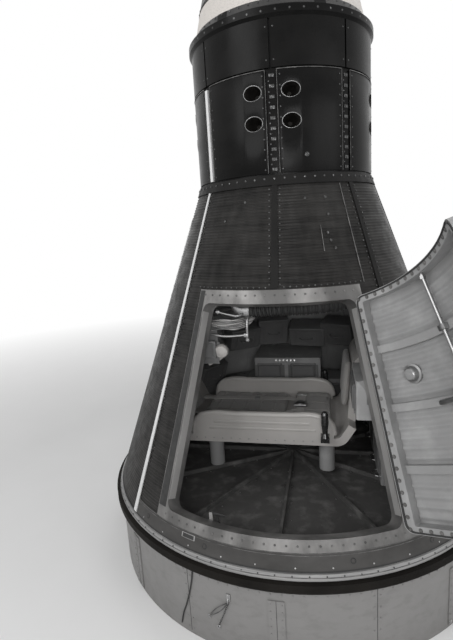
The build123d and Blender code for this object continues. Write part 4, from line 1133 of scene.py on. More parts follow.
class CAPSULE_OT_cylinder_trim(bpy.types.Operator):
    """Build the seams' bolts, the strips of painted highlight along the panels' edges and the small fittings of
    the cylinder
    """

    bl_idname = "capsule.cylinder_trim"
    bl_label = "Cylinder trim"

    def execute(self, context):
        looks = context.scene.capsule_looks
        step = looks.bolt_step
        foot, head = CYLINDER_Z + 0.022, TIER_Z - 0.024
        strip_r = CORE_R + 0.003
        places = []
        small = []
        for i in range(8):
            az = i * SEAM_STEP
            if az != 360 - SEAM_STEP:
                places += wall_row(az + LUG_ASIDE, strip_r, foot, head, step)
                small += wall_row(az + STRIP_RIVET_ASIDE, strip_r, foot + step / 2, head - step / 2, step)
            for side in (-1, 1):
                small += wall_row(az + side * LOWER_RIVET_ASIDE, CYLINDER_R, foot, head, step)
                upper_az = az + side * UPPER_RIVET_ASIDE
                small += wall_row(upper_az, CYLINDER_R, TIER_Z + 0.03, CLAMP_Z - 0.03, 2 * step)
        lug = bevelled(block(SEAM_LUG, (0, 0, SEAM_LUG[2] / 2)), 0.0010, 2)
        lug = joined([lug, settled(dome_head(0.0046, 0.0020), shift(0, 0, SEAM_LUG[2]))])
        bolts = spread(smooth(lug, 35), places)
        finished(bolts, "cylinder_seam_bolts", "steel", finish="fastener")
        rivets = spread(dome_head(0.0030, 0.0014, 10), small)
        finished(rivets, "cylinder_rivets", "steel", finish="fastener")

        # Painted highlight: a light strip along each edge of every seam stands in for the light that the panels'
        # edges catch.
        edges = []
        half = math.degrees(SEAM_HIGHLIGHT_W / 2 / CYLINDER_R)
        z0, z1 = CYLINDER_Z + 0.008, TIER_Z - 0.003
        for i in range(8):
            for side in (-1, 1):
                az = i * SEAM_STEP + side * math.degrees((SEAM_HALF_W + SEAM_HIGHLIGHT_W / 2) / CYLINDER_R)
                edges.append(wall_patch(az - half, az + half, z0, z1, *SEAM_HIGHLIGHT_R, 1))
        finished(joined(edges), "cylinder_seam_highlights", "light_metal", finish="edge_metal")

        laps = []
        half = math.degrees(SEAM_HALF_W / CYLINDER_R)
        for i in range(8):
            outline = [
                (CYLINDER_R + SEAT, TIER_Z - 0.006),
                (CYLINDER_R + 0.0022, TIER_Z - 0.006),
                (CYLINDER_R + 0.0012, TIER_Z - 0.003),
                (CYLINDER_R + SEAT, TIER_Z - 0.003),
            ]
            laps.append(lathe(outline, i * SEAM_STEP + half, (i + 1) * SEAM_STEP - half))
        finished(smooth(joined(laps)), "cylinder_lap_edges", "scanner", finish="edge_metal")

        knob = rod(0.009, 0.014, 24)
        pick(knob, "FACE", lambda face: face.normal.z > 0.9)
        bpy.ops.mesh.inset(thickness=0.003)
        bpy.ops.mesh.extrude_region_move(TRANSFORM_OT_translate={"value": (0, 0, -0.004)})
        object_mode()
        bevelled(knob, 0.0008, 2)
        settled(smooth(knob), on_wall(FITTING_AZ, CYLINDER_R - 0.004, CYLINDER_Z + FITTING_Z))
        finished(knob, "cylinder_fitting", "instrument_black")
        return {"FINISHED"}


# Rivets and bolts of the cone
BATTEN_RIVET_ASIDE = 0.021
TOP_BOLTS = 64
BAND_RIVETS = 96
JAMB_BOLT_AZ = 33.1
HINGE_Z = (0.620, 1.120)
HINGE_CLEARANCE = 0.075


class CAPSULE_OT_cone_fasteners(bpy.types.Operator):
    """Build the rows of rivets and bolts on the cone, its rings and the hatch's frame"""

    bl_idname = "capsule.cone_fasteners"
    bl_label = "Cone fasteners"

    def execute(self, context):
        step = context.scene.capsule_looks.bolt_step
        rivets = []
        for i in range(8):
            az = i * SEAM_STEP if i < 5 else i * SEAM_STEP - 360
            low = FRAME_Z1 + 0.02 if az == 0 else WALL_Z0 + 0.02
            for aside in (-BATTEN_RIVET_ASIDE, BATTEN_RIVET_ASIDE):
                row = cone_row(az, low, WALL_Z1 - 0.015, step * 0.6, 0.0, aside)
                rivets += filter(self.on_skin, row)
        top_r = cone_r(CYLINDER_Z) + 0.003 + 0.014 * SLOPE
        top = [on_wall(i * 360 / TOP_BOLTS, top_r, CYLINDER_Z - 0.014) for i in range(TOP_BOLTS)]
        rivets += round_row(-FRAME_AZ - 1, FRAME_AZ + 1, FRAME_Z1 + 0.010, step * 0.6)
        finished(spread(dome_head(0.0030, 0.0016, 10), rivets), "cone_rivets", "steel", finish="fastener")
        finished(spread(dome_head(0.0042, 0.0020), top), "top_ring_bolts", "steel", finish="fastener")

        frame_bolts = round_row(-HATCH_AZ, HATCH_AZ, (HATCH_Z1 + FRAME_Z1) / 2 + 0.006, step, 0.002)
        frame_bolts += round_row(-HATCH_AZ, HATCH_AZ, (FRAME_Z0 + HATCH_Z0) / 2, step, 0.002)
        frame_bolts += filter(self.clear_of_hinges, cone_row(JAMB_BOLT_AZ, HATCH_Z0, HATCH_Z1, step, 0.002))
        made = spread(slotted_screw(0.0042, 0.0018), frame_bolts)
        finished(made, "hatch_frame_bolts", "steel", finish="edge_metal")

        band = [on_cone(i * 360 / BAND_RIVETS, WALL_Z0 - 0.009, 0.0068) for i in range(BAND_RIVETS)]
        finished(spread(dome_head(0.0030, 0.0014, 10), band), "base_band_rivets", "steel", finish="fastener")
        return {"FINISHED"}

    @staticmethod
    def on_skin(place):
        """Whether a place is clear of the window's and the periscope's openings."""
        x, z = place.translation.x, place.translation.z
        near_window = x < -0.3 and WINDOW_Z0 - 0.05 < z < WINDOW_Z0 + WINDOW_H + 0.05
        near_scope = x > 0.3 and SCOPE_Z0 - 0.09 < z < SCOPE_Z0 + SCOPE_H + 0.03
        return abs(place.translation.y) > 0.15 or not (near_window or near_scope)

    @staticmethod
    def clear_of_hinges(place):
        return all(abs(place.translation.z - z) > HINGE_CLEARANCE for z in HINGE_Z)


# Hatch: depths under the skin of its inner face and its beams, sizes of its rim and beams, and its caps
HATCH_FACE_DEPTH = 0.055
HATCH_BEAM_DEPTH = 0.030
HATCH_RIM_W = 0.026
HATCH_BEAM_HALF_W = 0.0145
HATCH_BOLT_MARGIN = 0.018
HATCH_MIDDLE_Z = (HATCH_Z0 + HATCH_Z1) / 2
HATCH_BEAM_Z = tuple(HATCH_Z0 + (HATCH_Z1 - HATCH_Z0) * i / 4 for i in (1, 2, 3))
CAP_AZ = 18.0
CAP_PROFILE = ((0, 0), (0.034, 0), (0.034, 0.005), (0.027, 0.007), (0.024, 0.020), (0.018, 0.026), (0, 0.027))


def inward(place):
    """The same place, turned to face into the cabin."""
    return place @ rotation("X", 180)


def on_inner(az, z, lift=0.0):
    """Frame on the cabin's side of the cone's wall: z points into the cabin, y down the slope."""
    return inward(on_cone(az, z + WALL_T * sin(HALF_ANGLE), -WALL_T - lift))


def upright(place):
    """A place whose z runs along the slope instead of outwards."""
    return place @ rotation("X", -90)


def turned(profile, steps):
    """Turned part about z, from a chain of (r, z) points that starts and ends on the axis."""
    return smooth(spun(drawn([(r, 0, z) for r, z in profile], closed=False), 360, steps), 35)


def collar(radius, thick, width, steps=16):
    """Plain ring about z."""
    outline = [(radius, 0), (radius + thick, 0), (radius + thick, width), (radius, width)]
    return smooth(lathe(outline, steps=steps), 35)


CONNECTOR_R = 0.011
STRAP_THICK = 0.0022
# A case deeper than this has stiffeners on its lid and a handle
DEEP_CASE = 0.05


def case(width, height, deep):
    """Equipment case that stands on z = 0: flanged foot, body with a raised lid, and its screws."""
    body = block((width, height, deep), (0, 0, deep / 2))
    bevelled(body, 0.006, 2)
    pick(body, "FACE", lambda face: face.normal.z > 0.9)
    bpy.ops.mesh.inset(thickness=0.008)
    bpy.ops.mesh.extrude_region_move(TRANSFORM_OT_translate={"value": (0, 0, 0.003)})
    bpy.ops.mesh.inset(thickness=0.003, depth=0.0)
    bpy.ops.mesh.inset(thickness=0.010, depth=-0.0015)
    object_mode()
    foot = bevelled(block((width + 0.028, height * 0.8, 0.004), (0, 0, 0.002)), 0.001, 1)
    parts = [smooth(body, 40), foot]
    if deep > DEEP_CASE:
        for x in (-0.3 * width, 0.3 * width):
            parts.append(bevelled(block((0.008, height * 0.62, 0.004), (x, 0, deep + 0.003)), 0.0012, 2))
        x, z = 0.17 * width, deep + 0.018
        parts.append(pipe([(-x, 0, deep), (-x, 0, z), (x, 0, z), (x, 0, deep)], 0.0032))
    x, y = width / 2 - 0.014, height / 2 - 0.014
    spots = [shift(a, b, deep + 0.003) for a in (-x, x) for b in (-y, y)]
    parts.append(spread(slotted_screw(0.0042, 0.002), spots))
    return joined(parts)


def connector():
    """Round electrical connector on z = 0."""
    r = CONNECTOR_R
    profile = [(0, 0), (r * 1.25, 0), (r * 1.25, r * 0.25), (r, r * 0.25), (r, r * 1.1), (r * 1.12, r * 1.15)]
    profile += [(r * 1.12, r * 1.7), (r * 0.62, r * 1.9), (r * 0.5, r * 2.9), (0, r * 2.9)]
    return turned(profile, 16)


def bundle(points, count, radius, spacing):
    """Wires one over another along the same line."""
    wires = []
    for i in range(count):
        up = Z_AXIS * spacing * (i - (count - 1) / 2)
        wires.append(pipe([Vector(point) + up for point in points], radius, 2))
    return joined(wires)


def bellows(points, radius, pitch):
    """Ribbed hose along a line of points."""
    line = pipe(points, radius * 0.86, 4)
    curved(points).data.splines[0].resolution_u = 24
    bpy.ops.object.convert(target="MESH")
    path = [v.co.copy() for v in fresh().data.vertices]
    bpy.data.objects.remove(fresh())
    foot = radius * 0.8
    profile = [(foot, 0), (radius, 0.25 * pitch), (radius, 0.45 * pitch), (foot, 0.7 * pitch)]
    rib = lathe(profile, steps=20)
    places = []
    gone = 0.0
    for here, there in zip(path, path[1:]):
        gone += (there - here).length
        if gone >= pitch:
            gone -= pitch
            turn = (there - here).to_track_quat("Z", "Y").to_matrix().to_4x4()
            places.append(shift(*there) @ turn)
    return joined([line, smooth(spread(rib, places), 50)])


def webbing(points, across):
    """Flat strap along points, across wide."""
    strap = drawn(points, closed=False)
    pick(strap, "VERT", lambda v: True)
    bpy.ops.mesh.extrude_region_move(TRANSFORM_OT_translate={"value": across})
    object_mode()
    modified(strap, "SUBSURF", levels=2, render_levels=2)
    alone(strap)
    edit_mode()
    bpy.ops.mesh.select_all(action="SELECT")
    bpy.ops.mesh.normals_make_consistent(inside=False)
    object_mode()
    modified(strap, "SOLIDIFY", thickness=STRAP_THICK, offset=0)
    return smooth(strap, 50)


def on_hatch(piece, name, slot, finish=None):
    """Finish a piece that was built on the shut hatch, and swing it to the hatch's place."""
    return finished(settled(piece, hatch_swing()), name, slot, finish, "hatch")


class CAPSULE_OT_hatch_details(bpy.types.Operator):
    """Build the hatch's inner pans, bolts, seal and latch"""

    bl_idname = "capsule.hatch_details"
    bl_label = "Hatch details"

    def execute(self, context):
        step = context.scene.capsule_looks.bolt_step
        face, beam = HATCH_FACE_DEPTH, -HATCH_BEAM_DEPTH - 0.0002
        side = HATCH_AZ - math.degrees((HATCH_GAP + HATCH_RIM_W + 0.001) / inner_r(HATCH_Z1))
        rim = HATCH_GAP + HATCH_RIM_W - 0.002
        marks = [HATCH_Z0 + rim, *HATCH_BEAM_Z, HATCH_Z1 - rim]
        pans = []
        for i, (low, high) in enumerate(zip(marks, marks[1:])):
            low += HATCH_BEAM_HALF_W if i else 0.0
            high -= HATCH_BEAM_HALF_W if i < 3 else 0.0
            pans.append(beaded(-side, side, low, high, 16, 0.034, 0.0195, 0.0132, HATCH_SKIN_T + SEAT))
        on_hatch(joined(pans), "hatch_pans", "cabin_grey")

        edge = HATCH_AZ - math.degrees(HATCH_BOLT_MARGIN / inner_r(HATCH_Z1))
        low, high = HATCH_Z0 + HATCH_BOLT_MARGIN, HATCH_Z1 - HATCH_BOLT_MARGIN
        places = []
        for z in (low, high):
            places += round_row(-edge, edge, z, step, -face)
        for az in (-edge, edge):
            places += cone_row(az, low, high, step, -face)[1:-1]
        bolts = spread(hex_bolt(0.0055, 0.0035), [inward(place) for place in places])
        on_hatch(bolts, "hatch_bolts", "steel", "frame_metal")

        seal = hatch_blank(HATCH_GAP + 0.003, face + 0.0002, face + 0.003, HATCH_CORNER_R)
        cut_by(seal, hatch_blank(HATCH_GAP + 0.008, face - 0.01, face + 0.01, HATCH_CORNER_R - 0.004))
        on_hatch(smooth(bevelled(seal, 0.001, 2)), "hatch_seal", "instrument_black", "rubber")

        rods = []
        for low, high in ((marks[0], HATCH_MIDDLE_Z - 0.035), (HATCH_MIDDLE_Z + 0.035, marks[-1])):
            place = upright(on_cone(0, low, -HATCH_BEAM_DEPTH - 0.009))
            rods.append(settled(smooth(rod(0.006, (high - low) / cos(HALF_ANGLE))), place))
        for z in (HATCH_BEAM_Z[0], HATCH_BEAM_Z[2]):
            guide = bevelled(block((0.030, 0.020, 0.019), (0, 0, 0.0095)), 0.003, 2)
            rods.append(settled(smooth(guide), inward(on_cone(0, z, beam))))
        for z in (marks[0] + 0.012, marks[-1] - 0.012):
            nut = collar(0.0062, 0.004, 0.012, 6)
            rods.append(settled(nut, upright(on_cone(0, z - 0.006, -HATCH_BEAM_DEPTH - 0.009))))
        on_hatch(joined(rods), "hatch_latch_rods", "steel")
        gearbox = settled(case(0.120, 0.060, 0.020), inward(on_cone(0, HATCH_MIDDLE_Z, beam)))
        on_hatch(gearbox, "hatch_gearbox", "panel_grey")

        caps = []
        for az in (CAP_AZ, -CAP_AZ):
            place = inward(on_cone(az, HATCH_MIDDLE_Z + 0.10, -0.019))
            caps.append(settled(turned(CAP_PROFILE, 28), place))
        on_hatch(joined(caps), "hatch_initiator_caps", "light_metal")
        return {"FINISHED"}


class CAPSULE_OT_cabin_structure(bpy.types.Operator):
    """Build the stringers and ring frames of the cabin's wall and the seams of its floor"""

    bl_idname = "capsule.cabin_structure"
    bl_label = "Cabin structure"

    # Stringers: first azimuth, step, count; rings: height, first and last azimuth
    STRINGERS = (40.0, 14.0, 21)
    RINGS = (
        (0.60, 38.0, 322.0),
        (0.84, 38.0, 322.0),
        (1.07, 38.0, 322.0),
        (1.38, 38.0, 248.0),
        (1.38, 292.0, 322.0),
    )

    def execute(self, context):
        floor_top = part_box("cabin_floor")[1].z
        first, step, count = self.STRINGERS
        parts = []
        for i in range(count):
            az = first + i * step
            top = 1.075 if 250 < az < 290 else 1.66
            parts.append(self.inner_strip(az, 0.005, floor_top, top, -0.002, 0.020))
            parts.append(self.inner_strip(az, 0.012, floor_top, top, 0.020, 0.0225))
        finished(joined(parts), "cabin_stringers", "cabin_grey")
        rings = []
        for z, az0, az1 in self.RINGS:
            r = inner_r(z)
            outline = [(r + 0.002, z), (r - 0.034, z), (r - 0.034, z + 0.016)]
            outline += [(r - 0.031, z + 0.016), (r - 0.031, z + 0.003), (r + 0.002, z + 0.003)]
            rings.append(lathe(outline, az0, az1))
        finished(smooth(joined(rings), 30), "cabin_ring_frames", "light_metal")

        screws = []
        for i in range(12):
            for j in range(5):
                for az in (i * 30 + 3.0, i * 30 - 3.0):
                    screws.append(shift(*polar(az, 0.22 + 0.13 * j, floor_top - 0.020)))
        finished(spread(dome_head(0.0035, 0.0015, 10), screws), "floor_screws", "steel")
        return {"FINISHED"}

    @staticmethod
    def inner_strip(az, half_w, z0, z1, low, high):
        """Strip up the cabin's wall, between two heights over the wall's inner face."""
        half = math.degrees(half_w / inner_r((z0 + z1) / 2))
        corners = ((z0, low), (z1, low), (z1, high), (z0, high))
        return lathe([(inner_r(z) - lift, z) for z, lift in corners], az - half, az + half, 1)


# Cases on the cabin's wall: azimuth, height, width, size along the slope, depth
WALL_CASES = (
    (152.0, 0.955, 0.20, 0.15, 0.11),
    (173.0, 0.935, 0.22, 0.13, 0.13),
    (196.0, 0.960, 0.19, 0.18, 0.10),
    (217.0, 0.945, 0.20, 0.14, 0.12),
    (161.0, 1.190, 0.19, 0.13, 0.09),
    (186.0, 1.200, 0.17, 0.15, 0.08),
    (210.0, 1.190, 0.18, 0.12, 0.09),
    (236.0, 0.720, 0.20, 0.15, 0.10),
    (122.0, 0.960, 0.20, 0.15, 0.10),
    (98.0, 1.200, 0.18, 0.14, 0.08),
)
CASE_LIFT = 0.0225
LOOM_Z = 0.845
LOOM_R = inner_r(LOOM_Z) - 0.054

# Fittings that show through the hatch: the bracket on the sill, then the hose, wires, rods and knob
BRACKET_ARM = ((-0.272, -0.760, 0.481), (-0.240, -0.760, 0.476), (-0.210, -0.760, 0.470))
BRACKET_BRACE = (
    (-0.250, -0.760, 0.476), (-0.240, -0.760, 0.448),
    (-0.229, -0.760, 0.420), (-0.250, -0.760, 0.389),
)
AIR_HOSE = (
    (-0.125, -0.435, 1.232), (0.02, -0.445, 1.238), (0.16, -0.435, 1.242),
    (0.30, -0.40, 1.27), (0.36, -0.37, 1.34),
)
HOSE_ELBOW = (
    (-0.128, -0.435, 1.232), (-0.175, -0.430, 1.240),
    (-0.195, -0.405, 1.285), (-0.185, -0.345, 1.33),
)
SIDE_WIRES = (
    (-0.300, -0.432, 1.165), (-0.25, -0.440, 1.172), (-0.19, -0.432, 1.168),
    (-0.13, -0.38, 1.19), (-0.11, -0.31, 1.26),
)
LEVEL_ROD = ((-0.300, -0.442, 1.128), (-0.235, -0.446, 1.120), (-0.150, -0.440, 1.123))
UPPER_ROD = (
    (-0.262, -0.446, 1.228), (-0.220, -0.447, 1.217), (-0.168, -0.442, 1.210),
    (-0.13, -0.38, 1.25), (-0.12, -0.31, 1.29),
)
BENT_ROD = (
    (-0.140, -0.440, 1.108), (-0.138, -0.440, 1.180),
    (-0.13, -0.40, 1.23), (-0.12, -0.31, 1.28),
)
BENT_ROD_FOOT = ((0, 0), (0.011, 0), (0.011, 0.012), (0.007, 0.016), (0, 0.016))
UPPER_ROD_END = ((0, -0.008), (0.010, -0.008), (0.012, 0.0), (0.010, 0.008), (0, 0.008))
KNOB_PROFILE = (
    (0, 0), (0.012, 0), (0.012, 0.020), (0.029, 0.024),
    (0.032, 0.034), (0.028, 0.046), (0.014, 0.051), (0, 0.052),
)
KNOB_STEM = (
    (-0.262, -0.405, 1.058), (-0.262, -0.36, 1.05),
    (-0.285, -0.34, 1.00), (-0.345, -0.36, 0.97),
)


class CAPSULE_OT_cabin_equipment(bpy.types.Operator):
    """Build the wall's equipment cases, wiring, tubes and the fittings near the hatch"""

    bl_idname = "capsule.cabin_equipment"
    bl_label = "Cabin equipment"

    def execute(self, context):
        boxes = []
        plugs = []
        for az, z, width, height, deep in WALL_CASES:
            place = on_inner(az, z, CASE_LIFT)
            boxes.append(settled(case(width, height, deep), place))
            for x in (-width / 4, 0.0, width / 4):
                plugs.append(place @ shift(x, height / 2 - 0.001, deep * 0.55) @ rotation("X", -90))
        finished(joined(boxes), "wall_cases", "panel_grey")
        finished(spread(connector(), plugs), "case_connectors", "steel")

        looms = []
        for z, count in ((LOOM_Z, 5), (1.085, 4)):
            line = []
            for az in range(132, 244, 10):
                line.append(polar(az, inner_r(z) - 0.050 - 0.006 * sin(az), z + 0.012 + 0.006 * sin(az / 2)))
            looms.append(bundle(line, count, 0.0030, 0.0068))
        for az, z, width, height, deep in WALL_CASES[:4]:
            top = on_inner(az, z, CASE_LIFT + deep * 0.55) @ Vector((0, height / 2 + 0.03, 0))
            end = polar(az + 3.0, LOOM_R, LOOM_Z)
            looms.append(pipe([top, (top + end) / 2 + Vector((0.012, 0.004, 0)), end], 0.006))
        finished(joined(looms), "cabin_looms", "instrument_black", finish="wire")

        post = bevelled(block((0.014, 0.010, 0.098), (-0.267, -0.760, 0.433)), 0.0015, 2)
        foot = bevelled(block((0.050, 0.040, 0.005), (-0.262, -0.760, 0.3868)), 0.0015, 2)
        finished(smooth(joined([post, foot]), 40), "sill_bracket", "light_metal", finish="opening_edge")
        arms = [pipe(BRACKET_ARM, 0.0038), pipe(BRACKET_BRACE, 0.0034)]
        finished(joined(arms), "sill_bracket_arm", "instrument_black", finish="rubber")

        ties = []
        for az in range(136, 242, 14):
            place = shift(*polar(az, LOOM_R, LOOM_Z + 0.012))
            ties.append(place @ rotation("Z", az) @ rotation("Y", 90))
        finished(spread(collar(0.0175, 0.0015, 0.008), ties), "loom_ties", "pad_fabric")

        self.hatch_side()
        return {"FINISHED"}

    @staticmethod
    def hatch_side():
        """Fittings that show through the hatch under the lintel: board, wiring, hose, rods and knob."""
        hose = bellows(AIR_HOSE, 0.034, 0.009)
        finished(hose, "suit_air_hose", "instrument_black", finish="rubber")
        cuff = settled(collar(0.030, 0.006, 0.022, 28), shift(-0.147, -0.434, 1.232) @ rotation("Y", 90))
        finished(joined([cuff, pipe(HOSE_ELBOW, 0.024, 6)]), "hose_elbow", "light_metal")

        board = bevelled(block((0.085, 0.006, 0.190), (-0.318, -0.425, 1.085)), 0.002, 2)
        arm = bevelled(block((0.020, 0.022, 0.240), (-0.350, -0.437, 1.150)), 0.003, 2)
        box = settled(case(0.060, 0.080, 0.024), shift(-0.312, -0.4285, 1.060) @ rotation("X", 90))
        finished(joined([board, arm, box]), "side_board", "panel_grey")

        wires = bundle(SIDE_WIRES, 6, 0.0034, 0.0078)
        finished(wires, "hatch_side_wires", "instrument_black", finish="wire")

        rods = [
            pipe(LEVEL_ROD, 0.0055, 4),
            pipe(UPPER_ROD, 0.0055, 4),
            pipe(BENT_ROD, 0.0065, 4),
            settled(turned(BENT_ROD_FOOT, 16), shift(-0.140, -0.440, 1.098)),
            settled(smooth(bevelled(block((0.020, 0.016, 0.016)), 0.003, 2)), shift(-0.146, -0.440, 1.123)),
            settled(turned(UPPER_ROD_END, 16), shift(*UPPER_ROD[0]) @ rotation("Y", 90)),
        ]
        finished(joined(rods), "hatch_side_rods", "light_metal")

        knob = settled(turned(KNOB_PROFILE, 32), shift(-0.262, -0.400, 1.060) @ rotation("X", 105))
        finished(joined([knob, pipe(KNOB_STEM, 0.010, 4)]), "side_knob", "couch_glassfibre")


# Turns that lay a piece on a face that looks to the front or to the left
FACE_FRONT = rotation("X", 90)
FACE_LEFT = rotation("Y", -90) @ rotation("Z", -90)


# Couch cheeks: side view of their rolled edge, and the raised beads on their outer faces
CHEEK_EDGE = (
    (-0.470, 0.586), (-0.470, 0.612), (-0.4472, 0.6672), (-0.392, 0.690), (-0.255, 0.690), (-0.120, 0.690),
    (0.015, 0.690), (0.137, 0.690), (0.1922, 0.6672), (0.215, 0.612), (0.215, 0.602),
)
CHEEK_MIDDLE_Y = 0.261
CHEEK_FACE_Y = 0.275
CHEEK_BEADS = ((-0.128, 0.648, 0.470), (-0.128, 0.616, 0.520))


class CAPSULE_OT_couch_trim(bpy.types.Operator):
    """Build the rolled edges and stiffening beads of the couch's cheeks"""

    bl_idname = "capsule.couch_trim"
    bl_label = "Couch trim"

    def execute(self, context):
        edges = []
        beads = []
        for side in (-1, 1):
            edges.append(pipe([(x, side * CHEEK_MIDDLE_Y, z - 0.006) for x, z in CHEEK_EDGE], 0.0158, 4))
            for x, z, length in CHEEK_BEADS:
                beads.append(bevelled(block((length, 0.006, 0.013), (x, side * CHEEK_FACE_Y, z)), 0.0026, 3))
        finished(joined(edges), "couch_edges", "couch_glassfibre")
        finished(smooth(joined(beads), 40), "couch_beads", "couch_glassfibre")
        return {"FINISHED"}


class CAPSULE_OT_console_trim(bpy.types.Operator):
    """Build the access panels, switches, gauges and handles of the consoles, the rack and the oxygen unit"""

    bl_idname = "capsule.console_trim"
    bl_label = "Console trim"

    def execute(self, context):
        covers = []
        fittings = []
        gauges = []
        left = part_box("left_console")
        for x in (-0.155, 0.045):
            covers.append(self.cover(0.150, 0.105, x, left[0].y, 0.715, FACE_FRONT))
        for i in range(6):
            fittings.append(self.toggle(-0.115 + 0.022 * i, left[0].y - 0.001, 0.785, FACE_FRONT))
        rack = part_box("equipment_rack")
        for i in range(4):
            covers.append(self.cover(0.130, 0.180, -0.240 + 0.160 * i, rack[0].y, 0.505, FACE_FRONT))
        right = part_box("right_console")
        covers.append(self.cover(0.180, 0.085, 0.445, right[0].y, 0.900, FACE_FRONT))
        covers.append(self.cover(0.190, 0.115, right[0].x, -0.430, 0.880, FACE_LEFT))
        for i in range(7):
            fittings.append(self.toggle(0.375 + 0.023 * i, right[0].y - 0.001, 0.832, FACE_FRONT))
        for x in (0.400, 0.490):
            gauges.append(self.gauge(0.024, x, right[0].y - 0.0095, 0.900, FACE_FRONT))
        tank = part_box("oxygen_unit")
        for y in (-0.210, 0.0, 0.210):
            covers.append(self.cover(0.150, 0.125, tank[0].x, y, 0.475, FACE_LEFT))
        gauges.append(self.gauge(0.026, 0.530, tank[0].y - 0.0005, 0.490, FACE_FRONT))
        for y in (-0.28, -0.13, 0.13, 0.28):
            grip = [(tank[0].x + 0.002, y - 0.03, 0.42), (tank[0].x - 0.022, y - 0.025, 0.42)]
            grip += [(tank[0].x - 0.022, y + 0.025, 0.42), (tank[0].x + 0.002, y + 0.03, 0.42)]
            fittings.append(pipe(grip, 0.004))
        finished(joined(covers), "console_covers", "panel_grey")
        finished(joined(fittings), "console_fittings", "steel")
        finished(joined(gauges), "console_gauges", "instrument_black")

        rivets = []
        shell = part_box("couch_shell")
        for side in (-1, 1):
            turn = rotation("X", -90 * side)
            for i in range(16):
                rivets.append(shift(-0.500 + 0.044 * i, side * shell[1].y, 0.562) @ turn)
        finished(spread(dome_head(0.0036, 0.0016), rivets), "couch_rivets", "steel")
        return {"FINISHED"}

    @staticmethod
    def cover(width, height, x, y, z, face):
        """Screwed access panel on a flat face."""
        return settled(case(width, height, 0.006), shift(x, y, z) @ face)

    @staticmethod
    def toggle(x, y, z, face):
        nut = collar(0.0022, 0.0030, 0.0030, 6)
        lever = joined([nut, rod(0.0018, 0.014, 8)])
        return settled(lever, shift(x, y, z) @ face @ rotation("X", -14))

    @staticmethod
    def gauge(radius, x, y, z, face):
        rim, dial = radius * 0.86, radius * 0.80
        profile = [(0, 0), (radius, 0), (radius, 0.008), (rim, 0.010), (dial, 0.006), (0, 0.006)]
        return settled(turned(profile, 28), shift(x, y, z) @ face)


# Ports: heights over the cylinder's foot, half sizes, and the lips' width and lifts over the skin
PORT_HEIGHTS = (0.202, 0.316)
PORT_HALF_W = 0.0390
PORT_HALF_H = 0.0295
PORT_MARGIN = 0.004
LIP_W = 0.0030
LIP_HIGH = 0.0030
LIP_LOW = -0.0030
NOZZLE_PROFILE = (
    (0.0352, 0.0003), (0.0340, -0.006), (0.0295, -0.026),
    (0.0205, -0.048), (0.0115, -0.060), (0.0088, -0.0640),
)
PORT_COLUMNS = [quarter + side * PORT_AZ for quarter in (0, 90, 180, 270) for side in (-1, 1)]


def oval(piece):
    """Flatten a turned part of a port to the port's oval."""
    piece.scale = (1, PORT_HALF_H / PORT_HALF_W, 1)
    return settled(piece)


class CAPSULE_OT_cylinder_panels(bpy.types.Operator):
    """Build the cylinder's lower panels with their oval ports, and the nozzles in them"""

    bl_idname = "capsule.cylinder_panels"
    bl_label = "Lower panels and ports"

    def execute(self, context):
        low, high = (corner.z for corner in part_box("cylinder_panels_lower"))
        half = math.degrees(SEAM_HALF_W / CYLINDER_R)
        panels = []
        for i in range(8):
            az0, az1 = i * SEAM_STEP + half, (i + 1) * SEAM_STEP - half
            middle = (i + 0.5) * SEAM_STEP
            panel = wall_patch(az0, az1, low, high, CORE_R, CYLINDER_R, 24)
            for az in PORT_COLUMNS:
                if cos(radians(az - middle)) > cos(radians(SEAM_STEP / 2)):
                    for height in PORT_HEIGHTS:
                        cut_by(panel, self.port_rod(PORT_HALF_W, az, height))
            bevelled(panel, 0.0010, 2, 40)
            panels.append(smooth(panel, 30))
        made = finished(joined(panels), "cylinder_lower_skin", "cylinder_black")
        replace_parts(made, "cylinder_panels_lower")

        lips = []
        bells = []
        bell = self.bell()
        for height in PORT_HEIGHTS:
            lip = self.lip(height)
            for az in PORT_COLUMNS:
                lips.append(copied(lip, rotation("Z", az - PORT_AZ)))
                bells.append(copied(bell, on_wall(az, CYLINDER_R, CYLINDER_Z + height)))
            bpy.data.objects.remove(lip)
        bpy.data.objects.remove(bell)
        finished(joined(lips), "port_lips", "steel", finish="port_lip")
        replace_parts(finished(joined(bells), "thruster_bells", "steel", finish="nozzle"), "thrusters")
        return {"FINISHED"}

    @staticmethod
    def port_rod(half_w, az, height):
        """Oval bar through the skin at a port."""
        bar = rod(half_w, 0.08, 48)
        bar.scale = (1, (half_w - PORT_HALF_W + PORT_HALF_H) / half_w, 1)
        return settled(settled(bar), on_wall(az, CYLINDER_R - 0.04, CYLINDER_Z + height))

    @classmethod
    def lip(cls, height):
        """Lip of a port at the first column, proud at its head and sunk at its foot."""
        z = CYLINDER_Z + height
        low, high = z - PORT_HALF_H - PORT_MARGIN, z + PORT_HALF_H + PORT_MARGIN
        half = math.degrees((PORT_HALF_W + PORT_MARGIN) / CYLINDER_R)
        outline = [(CORE_R, low), (CYLINDER_R + LIP_LOW, low), (CYLINDER_R + LIP_HIGH, high), (CORE_R, high)]
        lip = lathe(outline, PORT_AZ - half, PORT_AZ + half, 24)
        cut_by(lip, cls.port_rod(PORT_HALF_W - SEAT, PORT_AZ, height), "INTERSECT")
        cut_by(lip, cls.port_rod(PORT_HALF_W - LIP_W, PORT_AZ, height))
        return smooth(bevelled(lip, 0.0008, 2, 40), 50)

    @staticmethod
    def bell():
        outside = [(r + LIP_W, z - 0.0006) for r, z in NOZZLE_PROFILE[1:]]
        throat, back = (0, NOZZLE_PROFILE[-1][1]), (0, -0.0700)
        return oval(turned([throat, *reversed(NOZZLE_PROFILE), *outside, back], 32))


